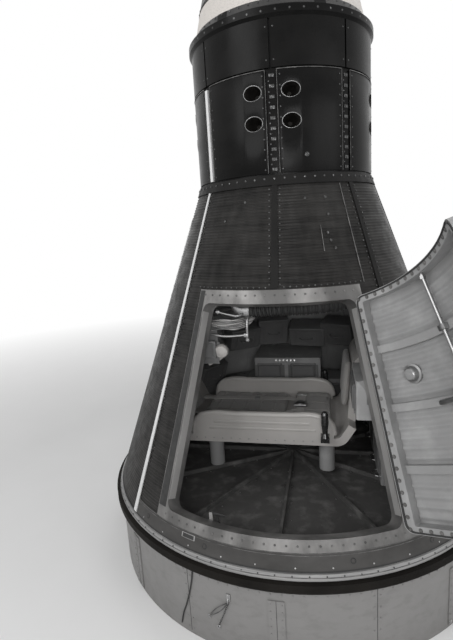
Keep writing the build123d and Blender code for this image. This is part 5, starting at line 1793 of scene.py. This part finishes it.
# Strips and marks of the frame, the sill and the cone: azimuths, heights and lifts over the skin
JAMB_SEAL_AZ = (-34.1, -31.55)
JAMB_SEAL_LIFT = (0.0018, 0.0036)
OPENING_EDGE_AZ = (30.84, 31.02)
OPENING_EDGE_LIFT = (-0.0006, -0.034)
OPENING_EDGE_MARGIN = 0.034
SILL_AZ = 44.0
SILL_LINES = (FRAME_Z0 - 0.0030, FRAME_Z0 - 0.0105)
SILL_LINE_W = 0.0018
SILL_PLATE = (-24.4, -20.3, 0.4115, 0.4295, 0.0003, 0.0014)
SILL_PLATE_FACE = (-24.05, -20.65, 0.4135, 0.4275, 0.0010, 0.0018)
CAM_Z = 0.407
CAM_AZ = (-38.0, -17.4, 17.4, 38.0)
SILL_SCREW_Z = 0.390
SILL_SCREW_AZ = (-40.0, -31.0, -22.0, -12.8, -4.5, 4.5, 12.8, 22.0, 31.0, 40.0)
# Painted shadow: a dark band round the cone's foot, in the gap between the sill and the base band.
FOOT_SHADOW_LINE = (WALL_Z0 + 0.0002, WALL_Z0 + 0.0050, -0.002, 0.0008)
BAND_LINE = (WALL_Z0 - 0.0150, WALL_Z0 - 0.0120, 0.0056, 0.0070)
# Studs of the cone: azimuth and drop under the cylinder's foot
CONE_STUDS = (
    (15.6, 0.10), (26.3, 0.10), (26.3, 0.168), (24.5, 0.24),
    (25.4, 0.27), (27.0, 0.30), (-16.0, 0.10), (-27.0, 0.17),
)
# Light lines down the cone: azimuth, half width, lower and upper height, lifts over the skin
CONE_LINES = (
    (37.0, 0.0018, FRAME_Z1 + 0.006, WALL_Z1 - 0.006, 0.0002, 0.0016),
    (21.6, 0.0014, CYLINDER_Z - 0.31, CYLINDER_Z - 0.21, 0.0002, 0.0014),
)
CAM_RING = (
    (0, 0), (0.0102, 0), (0.0102, 0.0010), (0.0090, 0.0018), (0.0074, 0.0018), (0.0070, 0.0008), (0, 0.0008),
)


class CAPSULE_OT_frame_strips(bpy.types.Operator):
    """Build the frame's strips and seals, the sill's plate and cams, the painted shadow line round the cone's
    foot, and the light lines of the cone
    """

    bl_idname = "capsule.frame_strips"
    bl_label = "Frame strips"

    def execute(self, context):
        seal = cone_patch(*JAMB_SEAL_AZ, HATCH_Z0 + 0.002, FRAME_Z1 - 0.004, *JAMB_SEAL_LIFT, 2)
        finished(smooth(bevelled(seal, 0.0006, 2)), "jamb_seal", "instrument_black", finish="rubber")
        low, high = HATCH_Z0 + OPENING_EDGE_MARGIN, HATCH_Z1 - OPENING_EDGE_MARGIN
        edges = []
        for side in (-1, 1):
            az0, az1 = sorted(side * az for az in OPENING_EDGE_AZ)
            edges.append(cone_patch(az0, az1, low, high, *OPENING_EDGE_LIFT, 1))
        finished(joined(edges), "opening_edges", "light_metal", finish="opening_edge")

        lines = [cone_patch(-SILL_AZ, SILL_AZ, low, low + SILL_LINE_W, 0.0, 0.0010) for low in SILL_LINES]
        finished(joined(lines), "sill_edge_lines", "light_metal", finish="edge_metal")
        plate = cone_patch(*SILL_PLATE, 4)
        finished(smooth(bevelled(plate, 0.0006, 2)), "sill_plate", "scanner", finish="base_band")
        face = cone_patch(*SILL_PLATE_FACE, 4)
        finished(smooth(face), "sill_plate_face", "instrument_black", finish="rubber")

        spots = [on_cone(az, CAM_Z) for az in CAM_AZ]
        finished(spread(turned(CAM_RING, 28), spots), "sill_cam_rings", "instrument_black", finish="rubber")
        spots = [place @ shift(0, 0, 0.0006) for place in spots]
        finished(spread(slotted_screw(0.0068, 0.0012), spots), "sill_cams", "steel", finish="plain_skin")
        spots = [on_cone(az, SILL_SCREW_Z) for az in SILL_SCREW_AZ]
        finished(spread(dome_head(0.0027, 0.0012), spots), "sill_screws", "steel", finish="scanner")

        # Painted shadow line round the cone's foot, drawn in the rubber finish.
        finished(cone_patch(0, 360, *FOOT_SHADOW_LINE), "cone_foot_shadow_line", "instrument_black", finish="rubber")
        finished(cone_patch(0, 360, *BAND_LINE), "base_band_line", "light_metal", finish="edge_metal")

        lines = [cone_strip(*line, 1) for line in CONE_LINES]
        finished(joined(lines), "cone_lines", "light_metal", finish="edge_metal")
        studs = [on_cone(az, CYLINDER_Z - down) for az, down in CONE_STUDS]
        finished(spread(dome_head(0.0052, 0.0026, 14), studs), "cone_studs", "steel", finish="fastener")
        return {"FINISHED"}


# Adapter ring: its wall, the line clipped down it, and the tie-downs' reach round and drop down the wall
RING_R = 0.92202
RING_SEAM_HALF_W = 0.0008
CORD_R = 0.0028
CORD_PATH = ((-20.6, 0.305), (-21.1, 0.255), (-21.9, 0.204), (-23.2, 0.139), (-24.8, 0.074), (-25.6, 0.026))
CHAIN_LINKS = 12
TIE_AZ = -11.2
TIE_Z = 0.224
TIE_STRAP_REACH = 5.4
TIE_STRAP_DROP = 0.100
TIE_CHAIN_REACH = 3.0
TIE_CHAIN_DROP = 0.133


class CAPSULE_OT_adapter_trim(bpy.types.Operator):
    """Build the adapter ring's rivets, seams, bolts, tie-downs and the line clipped down its wall"""

    bl_idname = "capsule.adapter_trim"
    bl_label = "Adapter ring trim"

    def execute(self, context):
        foot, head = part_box("adapter_ring")[0].z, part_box("adapter_ring")[1].z
        splice_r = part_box("adapter_splices")[1].x
        rivets = []
        for i in range(8):
            for side in (-1, 1):
                az = i * SEAM_STEP + side * math.degrees(0.021 / RING_R)
                rivets += wall_row(az, splice_r, foot + 0.016, RING_TOP_Z - 0.014, 0.030)
                az = (i + 0.5) * SEAM_STEP + side * math.degrees(0.012 / RING_R)
                rivets += wall_row(az, RING_R, foot + 0.016, head - 0.030, 0.045)
        rivets += [on_wall(i * 2.5 + 1.25, RING_R, head - 0.012) for i in range(144)]
        finished(spread(dome_head(0.0034, 0.0016, 10), rivets), "ring_rivets", "ring_paint")

        seams = []
        half = math.degrees(RING_SEAM_HALF_W / RING_R)
        for i in range(8):
            middle, splice = (i + 0.5) * SEAM_STEP, i * SEAM_STEP
            for az, r, top in ((middle, RING_R, head - 0.002), (splice, splice_r, RING_TOP_Z)):
                seams.append(wall_patch(az - half, az + half, foot + 0.002, top, r - 0.001, r + 0.0006, 1))
        finished(joined(seams), "ring_seams", "instrument_black", finish="rubber")

        bolts = [shift(*polar(i * 22.5 + 11.25, RING_R - 0.040, foot)) for i in range(16)]
        finished(spread(hex_bolt(0.0115, 0.008), bolts), "ring_foot_bolts", "steel")
        nuts = []
        for i in range(8):
            nuts += [on_wall(i * SEAM_STEP + side * 1.3, splice_r, foot + 0.014) for side in (-1, 1)]
        finished(spread(hex_bolt(0.0060, 0.0045), nuts), "splice_nuts", "steel")

        cord = [polar(az, RING_R + 0.0034, z) for az, z in CORD_PATH]
        finished(pipe(cord, CORD_R), "ring_cord", "instrument_black", finish="rubber")

        hooks = []
        straps = []
        chains = []
        for az in (TIE_AZ, TIE_AZ + 90, TIE_AZ + 180, TIE_AZ + 270):
            hooks.append(settled(self.hook(), on_wall(az, RING_R + 0.0002, TIE_Z)))
            for reach, drop in ((TIE_STRAP_REACH, TIE_STRAP_DROP), (TIE_CHAIN_REACH, TIE_CHAIN_DROP)):
                hooks.append(settled(self.eye(), on_wall(az - reach, RING_R + 0.0002, TIE_Z - drop)))
            straps += self.strap(az)
            chains.append(self.chain(az))
        finished(joined(hooks), "ring_hooks", "steel")
        finished(joined(straps), "ring_straps", "pad_fabric", finish="edge_metal")
        finished(joined(chains), "ring_chains", "steel", finish="fastener")
        return {"FINISHED"}

    @staticmethod
    def hook():
        """Hook on a small screwed cleat."""
        cleat = bevelled(block((0.016, 0.030, 0.004), (0, 0.012, 0.002)), 0.001, 2)
        head = settled(slotted_screw(0.0035, 0.0015), shift(0, 0.020, 0.004))
        bend = [(0, 0.010, 0.003), (0, 0.004, 0.009), (0, -0.006, 0.009), (0, -0.010, 0.004)]
        return joined([smooth(cleat, 40), head, pipe(bend, 0.0022, 2)])

    @staticmethod
    def eye():
        """Ring in a screwed eye."""
        plate = rod(0.008, 0.003, 20)
        bevelled(plate, 0.0008, 1)
        return joined([smooth(plate, 40), settled(collar(0.0035, 0.0018, 0.0022, 20), shift(0, 0, 0.003))])

    @staticmethod
    def strap(az):
        """Flat strap doubled over, from the hook to its eye."""
        made = []
        for aside in (-0.0055, 0.0055):
            points = []
            for i in range(7):
                t = i / 6
                drop = 0.008 + (TIE_STRAP_DROP - 0.012) * t
                place = on_wall(az - TIE_STRAP_REACH * t, RING_R + 0.0045, TIE_Z - drop)
                bow = aside * sin(pi * t)
                points.append(place @ Vector((bow, -bow, 0.0015 * sin(pi * t))))
            made.append(pipe(points, 0.0016, 2))
        return made

    @staticmethod
    def chain(az):
        """Short chain of oval links, each turned a quarter against the last."""
        link = wall_patch(0, 360, -0.0009, 0.0009, 0.0032, 0.0048, 14)
        link.scale = (0.7, 1.5, 1)
        settled(smooth(bevelled(link, 0.0004, 1), 60))
        places = []
        drop = TIE_CHAIN_DROP - 0.016
        lean = math.degrees(math.atan2(radians(TIE_CHAIN_REACH) * RING_R, drop))
        for i in range(CHAIN_LINKS):
            t = (i + 0.5) / CHAIN_LINKS
            place = on_wall(az - TIE_CHAIN_REACH * t, RING_R + 0.0052, TIE_Z - 0.012 - drop * t)
            places.append(place @ rotation("Z", -lean) @ rotation("Y", 90 * (i % 2)))
        return spread(link, places)


# Antenna fairing: its radii, half the azimuths of a batten and of its rows of rivets, its nose's bolts
FAIRING_FOOT_R = 0.392
FAIRING_HEAD_R = 0.258
BATTEN_HALF_AZ = 3.5
BATTEN_RIVET_AZ = 2.4
NOSE_BOLT_R = 0.247
LENS_PROFILE = (
    (0, -0.004), (0.031, -0.004), (0.031, 0.0), (0.024, 0.0005), (0.022, -0.003), (0.018, -0.0005), (0, 0.001),
)


class CAPSULE_OT_fairing_trim(bpy.types.Operator):
    """Build the antenna fairing's rivets, the scanners' lenses and the nose's fittings"""

    bl_idname = "capsule.fairing_trim"
    bl_label = "Fairing trim"

    def execute(self, context):
        foot, head = (corner.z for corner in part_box("fairing_rings"))
        band_low, band_high = (corner.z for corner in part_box("dielectric_band"))
        lean = math.atan((FAIRING_FOOT_R - FAIRING_HEAD_R) / (head - foot))

        def on_fairing(az, z, lift=0.0):
            a = radians(az)
            r = FAIRING_FOOT_R + (FAIRING_HEAD_R - FAIRING_FOOT_R) * (z - foot) / (head - foot)
            x = Vector((cos(a), sin(a), 0))
            out = Vector((cos(lean) * sin(a), -cos(lean) * cos(a), sin(lean)))
            return basis(x, out.cross(x), out, polar(az, r, z) + out * lift)

        def section(low, high):
            """Outline of a flat batten between two heights."""
            marks = ((low, 0.0002), (high, 0.0002), (high, 0.0018), (low, 0.0018))
            corners = [on_fairing(0, z, lift).translation for z, lift in marks]
            return [(-corner.y, corner.z) for corner in corners]

        rivets = []
        for z in (foot + 0.008, band_low - 0.008, band_high + 0.007, head - 0.007):
            rivets += [on_fairing(i * 6.0, z, 0.0016) for i in range(60)]
        for i in range(6):
            for j in range(12):
                z = band_high + 0.035 + j * 0.03
                for side in (-BATTEN_RIVET_AZ, BATTEN_RIVET_AZ):
                    rivets.append(on_fairing(i * 60 + 30 + side, z, 0.0018))
        finished(spread(dome_head(0.0030, 0.0015, 10), rivets), "fairing_rivets", "steel", finish="fastener")

        battens = []
        for low, high in ((foot + 0.002, band_low - 0.001), (band_high + 0.001, head - 0.001)):
            for az in range(30, 390, 60):
                battens.append(lathe(section(low, high), az - BATTEN_HALF_AZ, az + BATTEN_HALF_AZ, 3))
        for z in (band_high + 0.001, head - 0.013, foot + 0.002):
            battens.append(lathe(section(z, z + 0.012)))
        finished(smooth(joined(battens), 30), "fairing_battens", "fairing_black", finish="batten_skin")

        z = sum(corner.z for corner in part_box("horizon_scanners")) / 2
        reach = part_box("horizon_scanners")[1].x
        lenses = []
        for az in (0.0, 90.0):
            lenses.append(settled(turned(LENS_PROFILE, 32), on_wall(az, reach - 0.001, z)))
        finished(joined(lenses), "scanner_lenses", "glass")
        guards = []
        for az in (0.0, 90.0):
            screws = [on_wall(az, reach, z) @ rotation("Z", 60 * i) @ shift(0.0275, 0, 0) for i in range(6)]
            guards.append(spread(slotted_screw(0.0022, 0.0004), screws))
        finished(joined(guards), "scanner_screws", "steel")

        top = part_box("nose_cap")[1].z
        bolts = [shift(*polar(i * 15.0, NOSE_BOLT_R, top - 0.0035)) for i in range(24)]
        finished(spread(hex_bolt(0.0045, 0.0028), bolts), "nose_bolts", "steel", finish="frame_metal")

        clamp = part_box("clamp_ring")
        clamp_r = clamp[1].x
        studs = [on_wall(i * 7.5 + 3.75, clamp_r - 0.0002, clamp[1].z - 0.014) for i in range(48)]
        finished(spread(dome_head(0.0040, 0.0002), studs), "clamp_studs", "steel", finish="fastener")
        return {"FINISHED"}


# Screws of the window's frame and the periscope's door, and the door's ribs and eye
WINDOW_SCREW_FOOT_HALF = 0.154
WINDOW_SCREW_HEAD_HALF = 0.106
SCOPE_SCREW_HALF = 0.107
SCOPE_RIB_Z = (0.815, 0.865, 0.915)
SCOPE_EYE = (
    (0, 0), (0.050, 0), (0.050, 0.004), (0.042, 0.006),
    (0.040, 0.001), (0.030, 0.004), (0.016, 0.0065), (0, 0.0075),
)


class CAPSULE_OT_side_openings(bpy.types.Operator):
    """Build the screws of the window's frame and the periscope door, and the periscope's eye"""

    bl_idname = "capsule.side_openings"
    bl_label = "Window and periscope"

    def execute(self, context):
        head_z = WINDOW_Z0 + WINDOW_H
        spots = [(x, WINDOW_Z0 - 0.020) for x in (-0.12, -0.06, 0.0, 0.06, 0.12)]
        spots += [(x, head_z + 0.014) for x in (-0.075, -0.025, 0.025, 0.075)]
        for i in range(10):
            t = (i + 0.5) / 10
            x = WINDOW_SCREW_FOOT_HALF + (WINDOW_SCREW_HEAD_HALF - WINDOW_SCREW_FOOT_HALF) * t
            spots += [(-x, WINDOW_Z0 + WINDOW_H * t), (x, WINDOW_Z0 + WINDOW_H * t)]
        places = [on_cone(WINDOW_AZ + math.degrees(x / cone_r(z)), z, 0.002) for x, z in spots]
        finished(spread(slotted_screw(0.0050, 0.0018), places), "window_screws", "steel")

        half, low, high = SCOPE_SCREW_HALF, SCOPE_Z0 + 0.008, SCOPE_Z0 + SCOPE_H * cos(HALF_ANGLE) - 0.008
        spots = [(x, z) for x in (-half, -half / 2, 0, half / 2, half) for z in (low + 0.006, high)]
        spots += [(side * half, low + (high - low) * t) for side in (-1, 1) for t in (0.3, 0.5, 0.7)]
        places = [on_cone(SCOPE_AZ + math.degrees(x / cone_r(z)), z, 0.0) for x, z in spots]
        screws = spread(dome_head(0.0036, 0.0014), places)
        finished(screws, "scope_door_screws", "steel", finish="fastener", body="periscope_door")
        ribs = [cone_strip(SCOPE_AZ, 0.085, z, z + 0.012, -0.0002, 0.0016, 6) for z in SCOPE_RIB_Z]
        finished(smooth(joined(ribs)), "scope_door_ribs", "cone_shingle", body="periscope_door")

        eye = settled(turned(SCOPE_EYE, 36), on_cone(SCOPE_AZ, SCOPE_Z0 + SCOPE_H / 2 * 0.98, -0.0238))
        finished(eye, "scope_eye", "glass")
        return {"FINISHED"}


# Instrument panel: its middle and lean, and its dials' places on it and radii
PANEL_ORIGIN = (0.040, 0.0, 1.260)
PANEL_TILT = radians(18.0)
DIAL_H = 0.008
DIALS = (
    (-0.260, 0.110, 0.042), (-0.160, 0.120, 0.042), (-0.260, 0.010, 0.036), (-0.170, 0.020, 0.036),
    (0.260, 0.110, 0.042), (0.160, 0.120, 0.042), (0.260, 0.010, 0.036), (0.170, 0.020, 0.036),
    (0.0, 0.110, 0.056), (-0.240, -0.090, 0.030), (0.240, -0.090, 0.030),
)
SWITCH_BOSS = ((0, 0), (0.0055, 0), (0.0055, 0.003), (0.003, 0.005), (0, 0.005))
SCREEN_RIM = ((0.085, 0.0), (0.105, 0.0), (0.104, 0.005), (0.096, 0.008), (0.088, 0.004))
SCREEN_DOME = ((0, 0.0), (0.086, 0.0), (0.060, 0.0035), (0.030, 0.0055), (0, 0.006))
SCREEN_Y = -0.060


class CAPSULE_OT_instruments(bpy.types.Operator):
    """Build the faces of the instruments, the switches and the periscope's screen"""

    bl_idname = "capsule.instruments"
    bl_label = "Instruments"

    def execute(self, context):
        plane = basis(
            Vector((0, 1, 0)),
            Vector((cos(PANEL_TILT), 0, -sin(PANEL_TILT))),
            Vector((-sin(PANEL_TILT), 0, -cos(PANEL_TILT))),
            Vector(PANEL_ORIGIN),
        )

        def on_panel(x, y, z=0.0, turn=0.0):
            return plane @ shift(x, y, z) @ rotation("Z", turn)

        bezels = []
        ticks = []
        hands = []
        for i, (x, y, r) in enumerate(DIALS):
            ring = lathe([(r - 0.006, 0.0), (r, 0.0), (r - 0.001, 0.003), (r - 0.004, 0.0035)], steps=32)
            bezels.append(settled(smooth(ring), on_panel(x, y, DIAL_H)))
            for j in range(12):
                tick = shift(0, r - 0.011, 0.0003)
                size = 0.0024 if j % 3 == 0 else 0.0012
                mark = block((size, 0.006, 0.0006))
                ticks.append(settled(mark, on_panel(x, y, DIAL_H, 30 * j) @ tick))
            hand = block((0.0018, r * 0.62, 0.0008), (0, r * 0.24, 0.0012))
            boss = rod(0.0035, 0.0018, 12)
            hands.append(settled(joined([hand, boss]), on_panel(x, y, DIAL_H, 47.0 * i)))
        finished(joined(bezels), "dial_bezels", "panel_grey")
        finished(joined(ticks + hands), "dial_marks", "panel_grey", finish="dial_white")

        lever = joined([turned(SWITCH_BOSS, 12), rod(0.0016, 0.017, 8)])
        switches = [on_panel(side * (0.06 + 0.03 * i), 0.190, 0.0) for side in (-1, 1) for i in range(8)]
        switches += [on_panel(side * 0.305, -0.15 + 0.035 * i, 0.0) for side in (-1, 1) for i in range(8)]
        switches += [on_panel(side * (0.15 + 0.03 * i), -0.165, 0.0) for side in (-1, 1) for i in range(5)]
        finished(spread(lever, switches), "panel_switches", "steel")

        rim = settled(smooth(lathe(SCREEN_RIM, steps=56)), on_panel(0, SCREEN_Y, DIAL_H))
        finished(rim, "screen_rim", "panel_grey")
        dome = settled(turned(SCREEN_DOME, 48), on_panel(0, SCREEN_Y, DIAL_H))
        finished(dome, "screen_glass", "glass")
        return {"FINISHED"}


# Pads: mesh size, air pressure and steps of the cloth simulation, size of a sewn channel
PAD_VOXEL = 0.006
PAD_PRESSURE = 4.0
PAD_STEPS = 20
CHANNEL_W = 0.006
PAD_CHANNELS = (-0.16, -0.055, 0.055, 0.16)
CROWN_REACH = 0.009
HARNESS_Y = 0.105
HARNESS_HALF_W = 0.022


def puffed(shape, cap):
    """Swell a pad by cloth simulation, with a cap on how far a point moves."""
    modified(shape, "REMESH", mode="VOXEL", voxel_size=PAD_VOXEL)
    start = [vertex.co.copy() for vertex in shape.data.vertices]
    scene = bpy.context.scene
    scene.frame_set(1)
    alone(shape)
    cloth = shape.modifiers.new("cloth", "CLOTH")
    cloth.settings.use_pressure = True
    cloth.settings.uniform_pressure_force = PAD_PRESSURE
    cloth.settings.effector_weights.gravity = 0
    for number in range(PAD_STEPS):
        scene.frame_set(number + 1)
    bpy.ops.object.modifier_apply(modifier=cloth.name)
    for vertex, first in zip(shape.data.vertices, start):
        move = vertex.co - first
        if move.length > cap:
            vertex.co = first + move.normalized() * cap
    scene.frame_set(1)
    modified(shape, "SUBSURF", levels=1, render_levels=1)
    return smooth(shape, 180)


def pad_blank(size, place, corner):
    """Rounded block that a pad starts from, centred on a place."""
    shape = block(size)
    pick(shape, "EDGE", lambda edge: abs(sum(end.z for end in ends(shape, edge))) < 1e-5)
    bpy.ops.mesh.bevel(offset=corner, offset_type="OFFSET", segments=6, affect="EDGES")
    object_mode()
    bevelled(shape, min(0.012, size[2] * 0.3), 3, 60)
    return settled(shape, place)


def sewn(pad, lines, axis, depth=0.0055):
    """Press sewn channels into a pad's upper side, at places along an axis."""
    middle = sum(vertex.co.z for vertex in pad.data.vertices) / len(pad.data.vertices)
    for vertex in pad.data.vertices:
        if vertex.co.z > middle:
            near = min(abs(vertex.co[axis] - line) for line in lines)
            vertex.co.z -= depth * math.exp(-((near / CHANNEL_W) ** 2))
    return pad


def crown(pads, x, y):
    """Height of the pads' upper side at a place."""
    heights = []
    for pad in pads:
        for vertex in pad.data.vertices:
            if abs(vertex.co.x - x) < CROWN_REACH and abs(vertex.co.y - y) < CROWN_REACH:
                heights.append(vertex.co.z)
    return max(heights, default=0.60)


class CAPSULE_OT_couch_pads(bpy.types.Operator):
    """Build the couch's padding and the harness that lies on it"""

    bl_idname = "capsule.couch_pads"
    bl_label = "Couch pads and harness"

    def execute(self, context):
        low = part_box("couch_pads")[0].z
        back = pad_blank((0.450, 0.474, 0.034), shift(-0.250, 0, low + 0.0215), 0.036)
        seat = pad_blank((0.204, 0.474, 0.038), shift(0.106, 0, low + 0.0235), 0.036)
        back = sewn(puffed(back, 0.008), PAD_CHANNELS, 1)
        seat = sewn(puffed(seat, 0.008), PAD_CHANNELS, 1)
        sewn(back, (-0.405, -0.330, -0.250, -0.170, -0.095), 0, 0.0035)
        for pad, name in ((back, "back_pad"), (seat, "seat_pad")):
            for vertex in pad.data.vertices:
                vertex.co.z = max(vertex.co.z, low)
            finished(pad, name, "pad_fabric")
        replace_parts(back, "couch_pads")

        head = pad_blank((0.105, 0.230, 0.026), shift(-0.548, 0, 0.640) @ rotation("Y", 67.0), 0.030)
        thigh = pad_blank((0.230, 0.300, 0.022), shift(0.279, 0, 0.800) @ rotation("Y", -84.5), 0.030)
        calf = pad_blank((0.140, 0.320, 0.022), shift(0.415, 0, 0.976) @ rotation("Y", 5.0), 0.030)
        for pad, name in ((head, "head_pad"), (thigh, "thigh_pad"), (calf, "calf_pad")):
            finished(puffed(pad, 0.006), name, "pad_fabric")

        pads = [back, seat]
        lift = 0.0032
        straps = []
        for side in (-1, 1):
            y = side * HARNESS_Y
            near, far = y - HARNESS_HALF_W, y + HARNESS_HALF_W
            points = [(-0.520, near, 0.632), (-0.495, near, 0.628)]
            for x in (-0.46, -0.40, -0.34, -0.28, -0.22, -0.16, -0.10, -0.05):
                points.append((x, near, max(crown(pads, x, near), crown(pads, x, far)) + lift))
            points.append((-0.010, near, points[-1][2] + 0.004))
            points.append((0.030, y * 0.55 - HARNESS_HALF_W, crown(pads, 0.03, y * 0.55) + 0.008))
            straps.append(webbing(points, (0, 2 * HARNESS_HALF_W, 0)))
            ys = [side * v for v in (0.243, 0.225, 0.19, 0.15, 0.11, 0.07, 0.03)]
            points = [(0.020, v, crown(pads, 0.04, v) + lift + (0.006 if abs(v) > 0.23 else 0.0)) for v in ys]
            straps.append(webbing(points, (0.048, 0, 0)))
        finished(joined(straps), "harness_straps", "pad_fabric", finish="webbing")

        top = crown(pads, 0.045, 0.0) + 0.006
        body = bevelled(block((0.070, 0.062, 0.012), (0.045, 0, top + 0.006)), 0.004, 3)
        dial = turned([(0, 0), (0.024, 0), (0.024, 0.004), (0.019, 0.008), (0.010, 0.009), (0, 0.0085)], 28)
        parts = [body, settled(dial, shift(0.045, 0, top + 0.012))]
        x = -0.20
        for y in (-HARNESS_Y, HARNESS_Y):
            slide = bevelled(block((0.030, 0.056, 0.005)), 0.0015, 2)
            parts.append(settled(slide, shift(x, y, crown(pads, x, y) + 0.0075)))
        for y in (-0.150, 0.150):
            slide = bevelled(block((0.058, 0.028, 0.005)), 0.0015, 2)
            parts.append(settled(slide, shift(0.044, y, crown(pads, 0.044, y) + 0.0075)))
        finished(smooth(joined(parts), 40), "harness_buckles", "steel")
        return {"FINISHED"}


class CAPSULE_OT_stage(bpy.types.Operator):
    """Lay the floor, hang the lamps and stand the camera at the photograph's angle"""

    bl_idname = "capsule.stage"
    bl_label = "Stage"

    def execute(self, context):
        stage = context.scene.capsule_stage
        clear()
        bpy.ops.mesh.primitive_circle_add(vertices=96, radius=14, fill_type="NGON", location=(0, 0, -0.0005))
        floor = settled(fresh())
        floor.name = "floor"
        finish = Finish("pale_floor")
        finish.toned(finish.noise(2.0, 4), grey(0.78), grey(0.82))
        finish.rough(finish.noise(6.0), 0.6, 0.75)
        away = finish.node("ShaderNodeVectorMath", {"operation": "LENGTH"}, {0: finish.place}, "Value")
        finish.faded(finish.ranged(away, 2.2, 7.0, 0.0, 1.0))
        floor.data.materials.append(finish.material)

        self.surround(context, stage.surround)
        self.lamp("key_lamp", (-2.6, -3.6, 3.4), (0, 0, 1.3), 2.6, stage.key_watts)
        self.lamp("fill_lamp", (3.4, -2.2, 2.2), (0, 0, 1.2), 2.4, stage.fill_watts)
        self.lamp("top_lamp", (0.4, 1.2, 4.6), (0, 0, 1.6), 3.0, stage.fill_watts)
        self.lamp("front_lamp", (0.45, -3.4, 1.75), (0, 0, 0.85), 1.0, stage.front_watts)

        bpy.ops.object.camera_add(location=CAMERA_PLACE)
        camera = fresh()
        turn = rotation("Z", CAMERA_YAW)
        tilt = rotation("X", 90 - CAMERA_PITCH)
        roll = rotation("Z", -CAMERA_ROLL)
        camera.matrix_world = shift(*CAMERA_PLACE) @ turn @ tilt @ roll
        camera.data.lens = CAMERA_LENS
        camera.data.clip_start = 0.05
        context.scene.camera = camera
        context.scene.view_settings.view_transform = "Standard"
        return {"FINISHED"}

    @staticmethod
    def lamp(name, place, target, size, watts):
        clear()
        bpy.ops.object.light_add(type="AREA", location=place)
        lamp = fresh()
        lamp.name = name
        lamp.data.shape = "SQUARE"
        lamp.data.size = size
        lamp.data.energy = watts
        lamp.rotation_euler = (Vector(target) - Vector(place)).to_track_quat("-Z", "Y").to_euler()

    @staticmethod
    def surround(context, strength):
        """Even light from all round, with a white background behind."""
        world = bpy.data.worlds.new("surround")
        context.scene.world = world
        world.use_nodes = True
        tree = world.node_tree
        shader = tree.nodes["Background"]
        shader.inputs["Color"].default_value = (1, 1, 1, 1)
        ray = tree.nodes.new("ShaderNodeLightPath")
        seen = ray.outputs["Is Camera Ray"]
        for output in ("Is Glossy Ray", "Is Transmission Ray"):
            either = tree.nodes.new("ShaderNodeMath")
            either.operation = "MAXIMUM"
            tree.links.new(seen, either.inputs[0])
            tree.links.new(ray.outputs[output], either.inputs[1])
            seen = either.outputs[0]
        level = tree.nodes.new("ShaderNodeMapRange")
        tree.links.new(seen, level.inputs["Value"])
        level.inputs["To Min"].default_value = strength
        level.inputs["To Max"].default_value = 1.0
        tree.links.new(level.outputs["Result"], shader.inputs["Strength"])


OPERATORS = (
    CAPSULE_OT_finish_solids,
    CAPSULE_OT_shingles,
    CAPSULE_OT_hatch_skin,
    CAPSULE_OT_cylinder_trim,
    CAPSULE_OT_cone_fasteners,
    CAPSULE_OT_hatch_details,
    CAPSULE_OT_cabin_structure,
    CAPSULE_OT_cabin_equipment,
    CAPSULE_OT_couch_trim,
    CAPSULE_OT_console_trim,
    CAPSULE_OT_cylinder_panels,
    CAPSULE_OT_frame_strips,
    CAPSULE_OT_adapter_trim,
    CAPSULE_OT_fairing_trim,
    CAPSULE_OT_side_openings,
    CAPSULE_OT_instruments,
    CAPSULE_OT_couch_pads,
    CAPSULE_OT_stage,
)


class CAPSULE_PT_looks(bpy.types.Panel):
    """Lists the steps that dress the capsule."""

    bl_idname = "CAPSULE_PT_looks"
    bl_label = "Capsule"
    bl_space_type = "VIEW_3D"
    bl_region_type = "UI"
    bl_category = "Capsule"

    def draw(self, context):
        for group in (context.scene.capsule_looks, context.scene.capsule_stage):
            for key in group.__annotations__:
                self.layout.prop(group, key)
        for operator in OPERATORS:
            self.layout.operator(operator.bl_idname)


CLASSES = (CapsuleLooks, CapsuleStage, *OPERATORS, CAPSULE_PT_looks)


def register():
    for cls in CLASSES:
        bpy.utils.register_class(cls)
    bpy.types.Scene.capsule_looks = bpy.props.PointerProperty(type=CapsuleLooks)
    bpy.types.Scene.capsule_stage = bpy.props.PointerProperty(type=CapsuleStage)


def unregister():
    del bpy.types.Scene.capsule_looks
    del bpy.types.Scene.capsule_stage
    for cls in reversed(CLASSES):
        bpy.utils.unregister_class(cls)


def main():
    register()
    for operator in OPERATORS:
        group, name = operator.bl_idname.split(".")
        getattr(getattr(bpy.ops, group), name)()


if __name__ == "__main__":
    main()
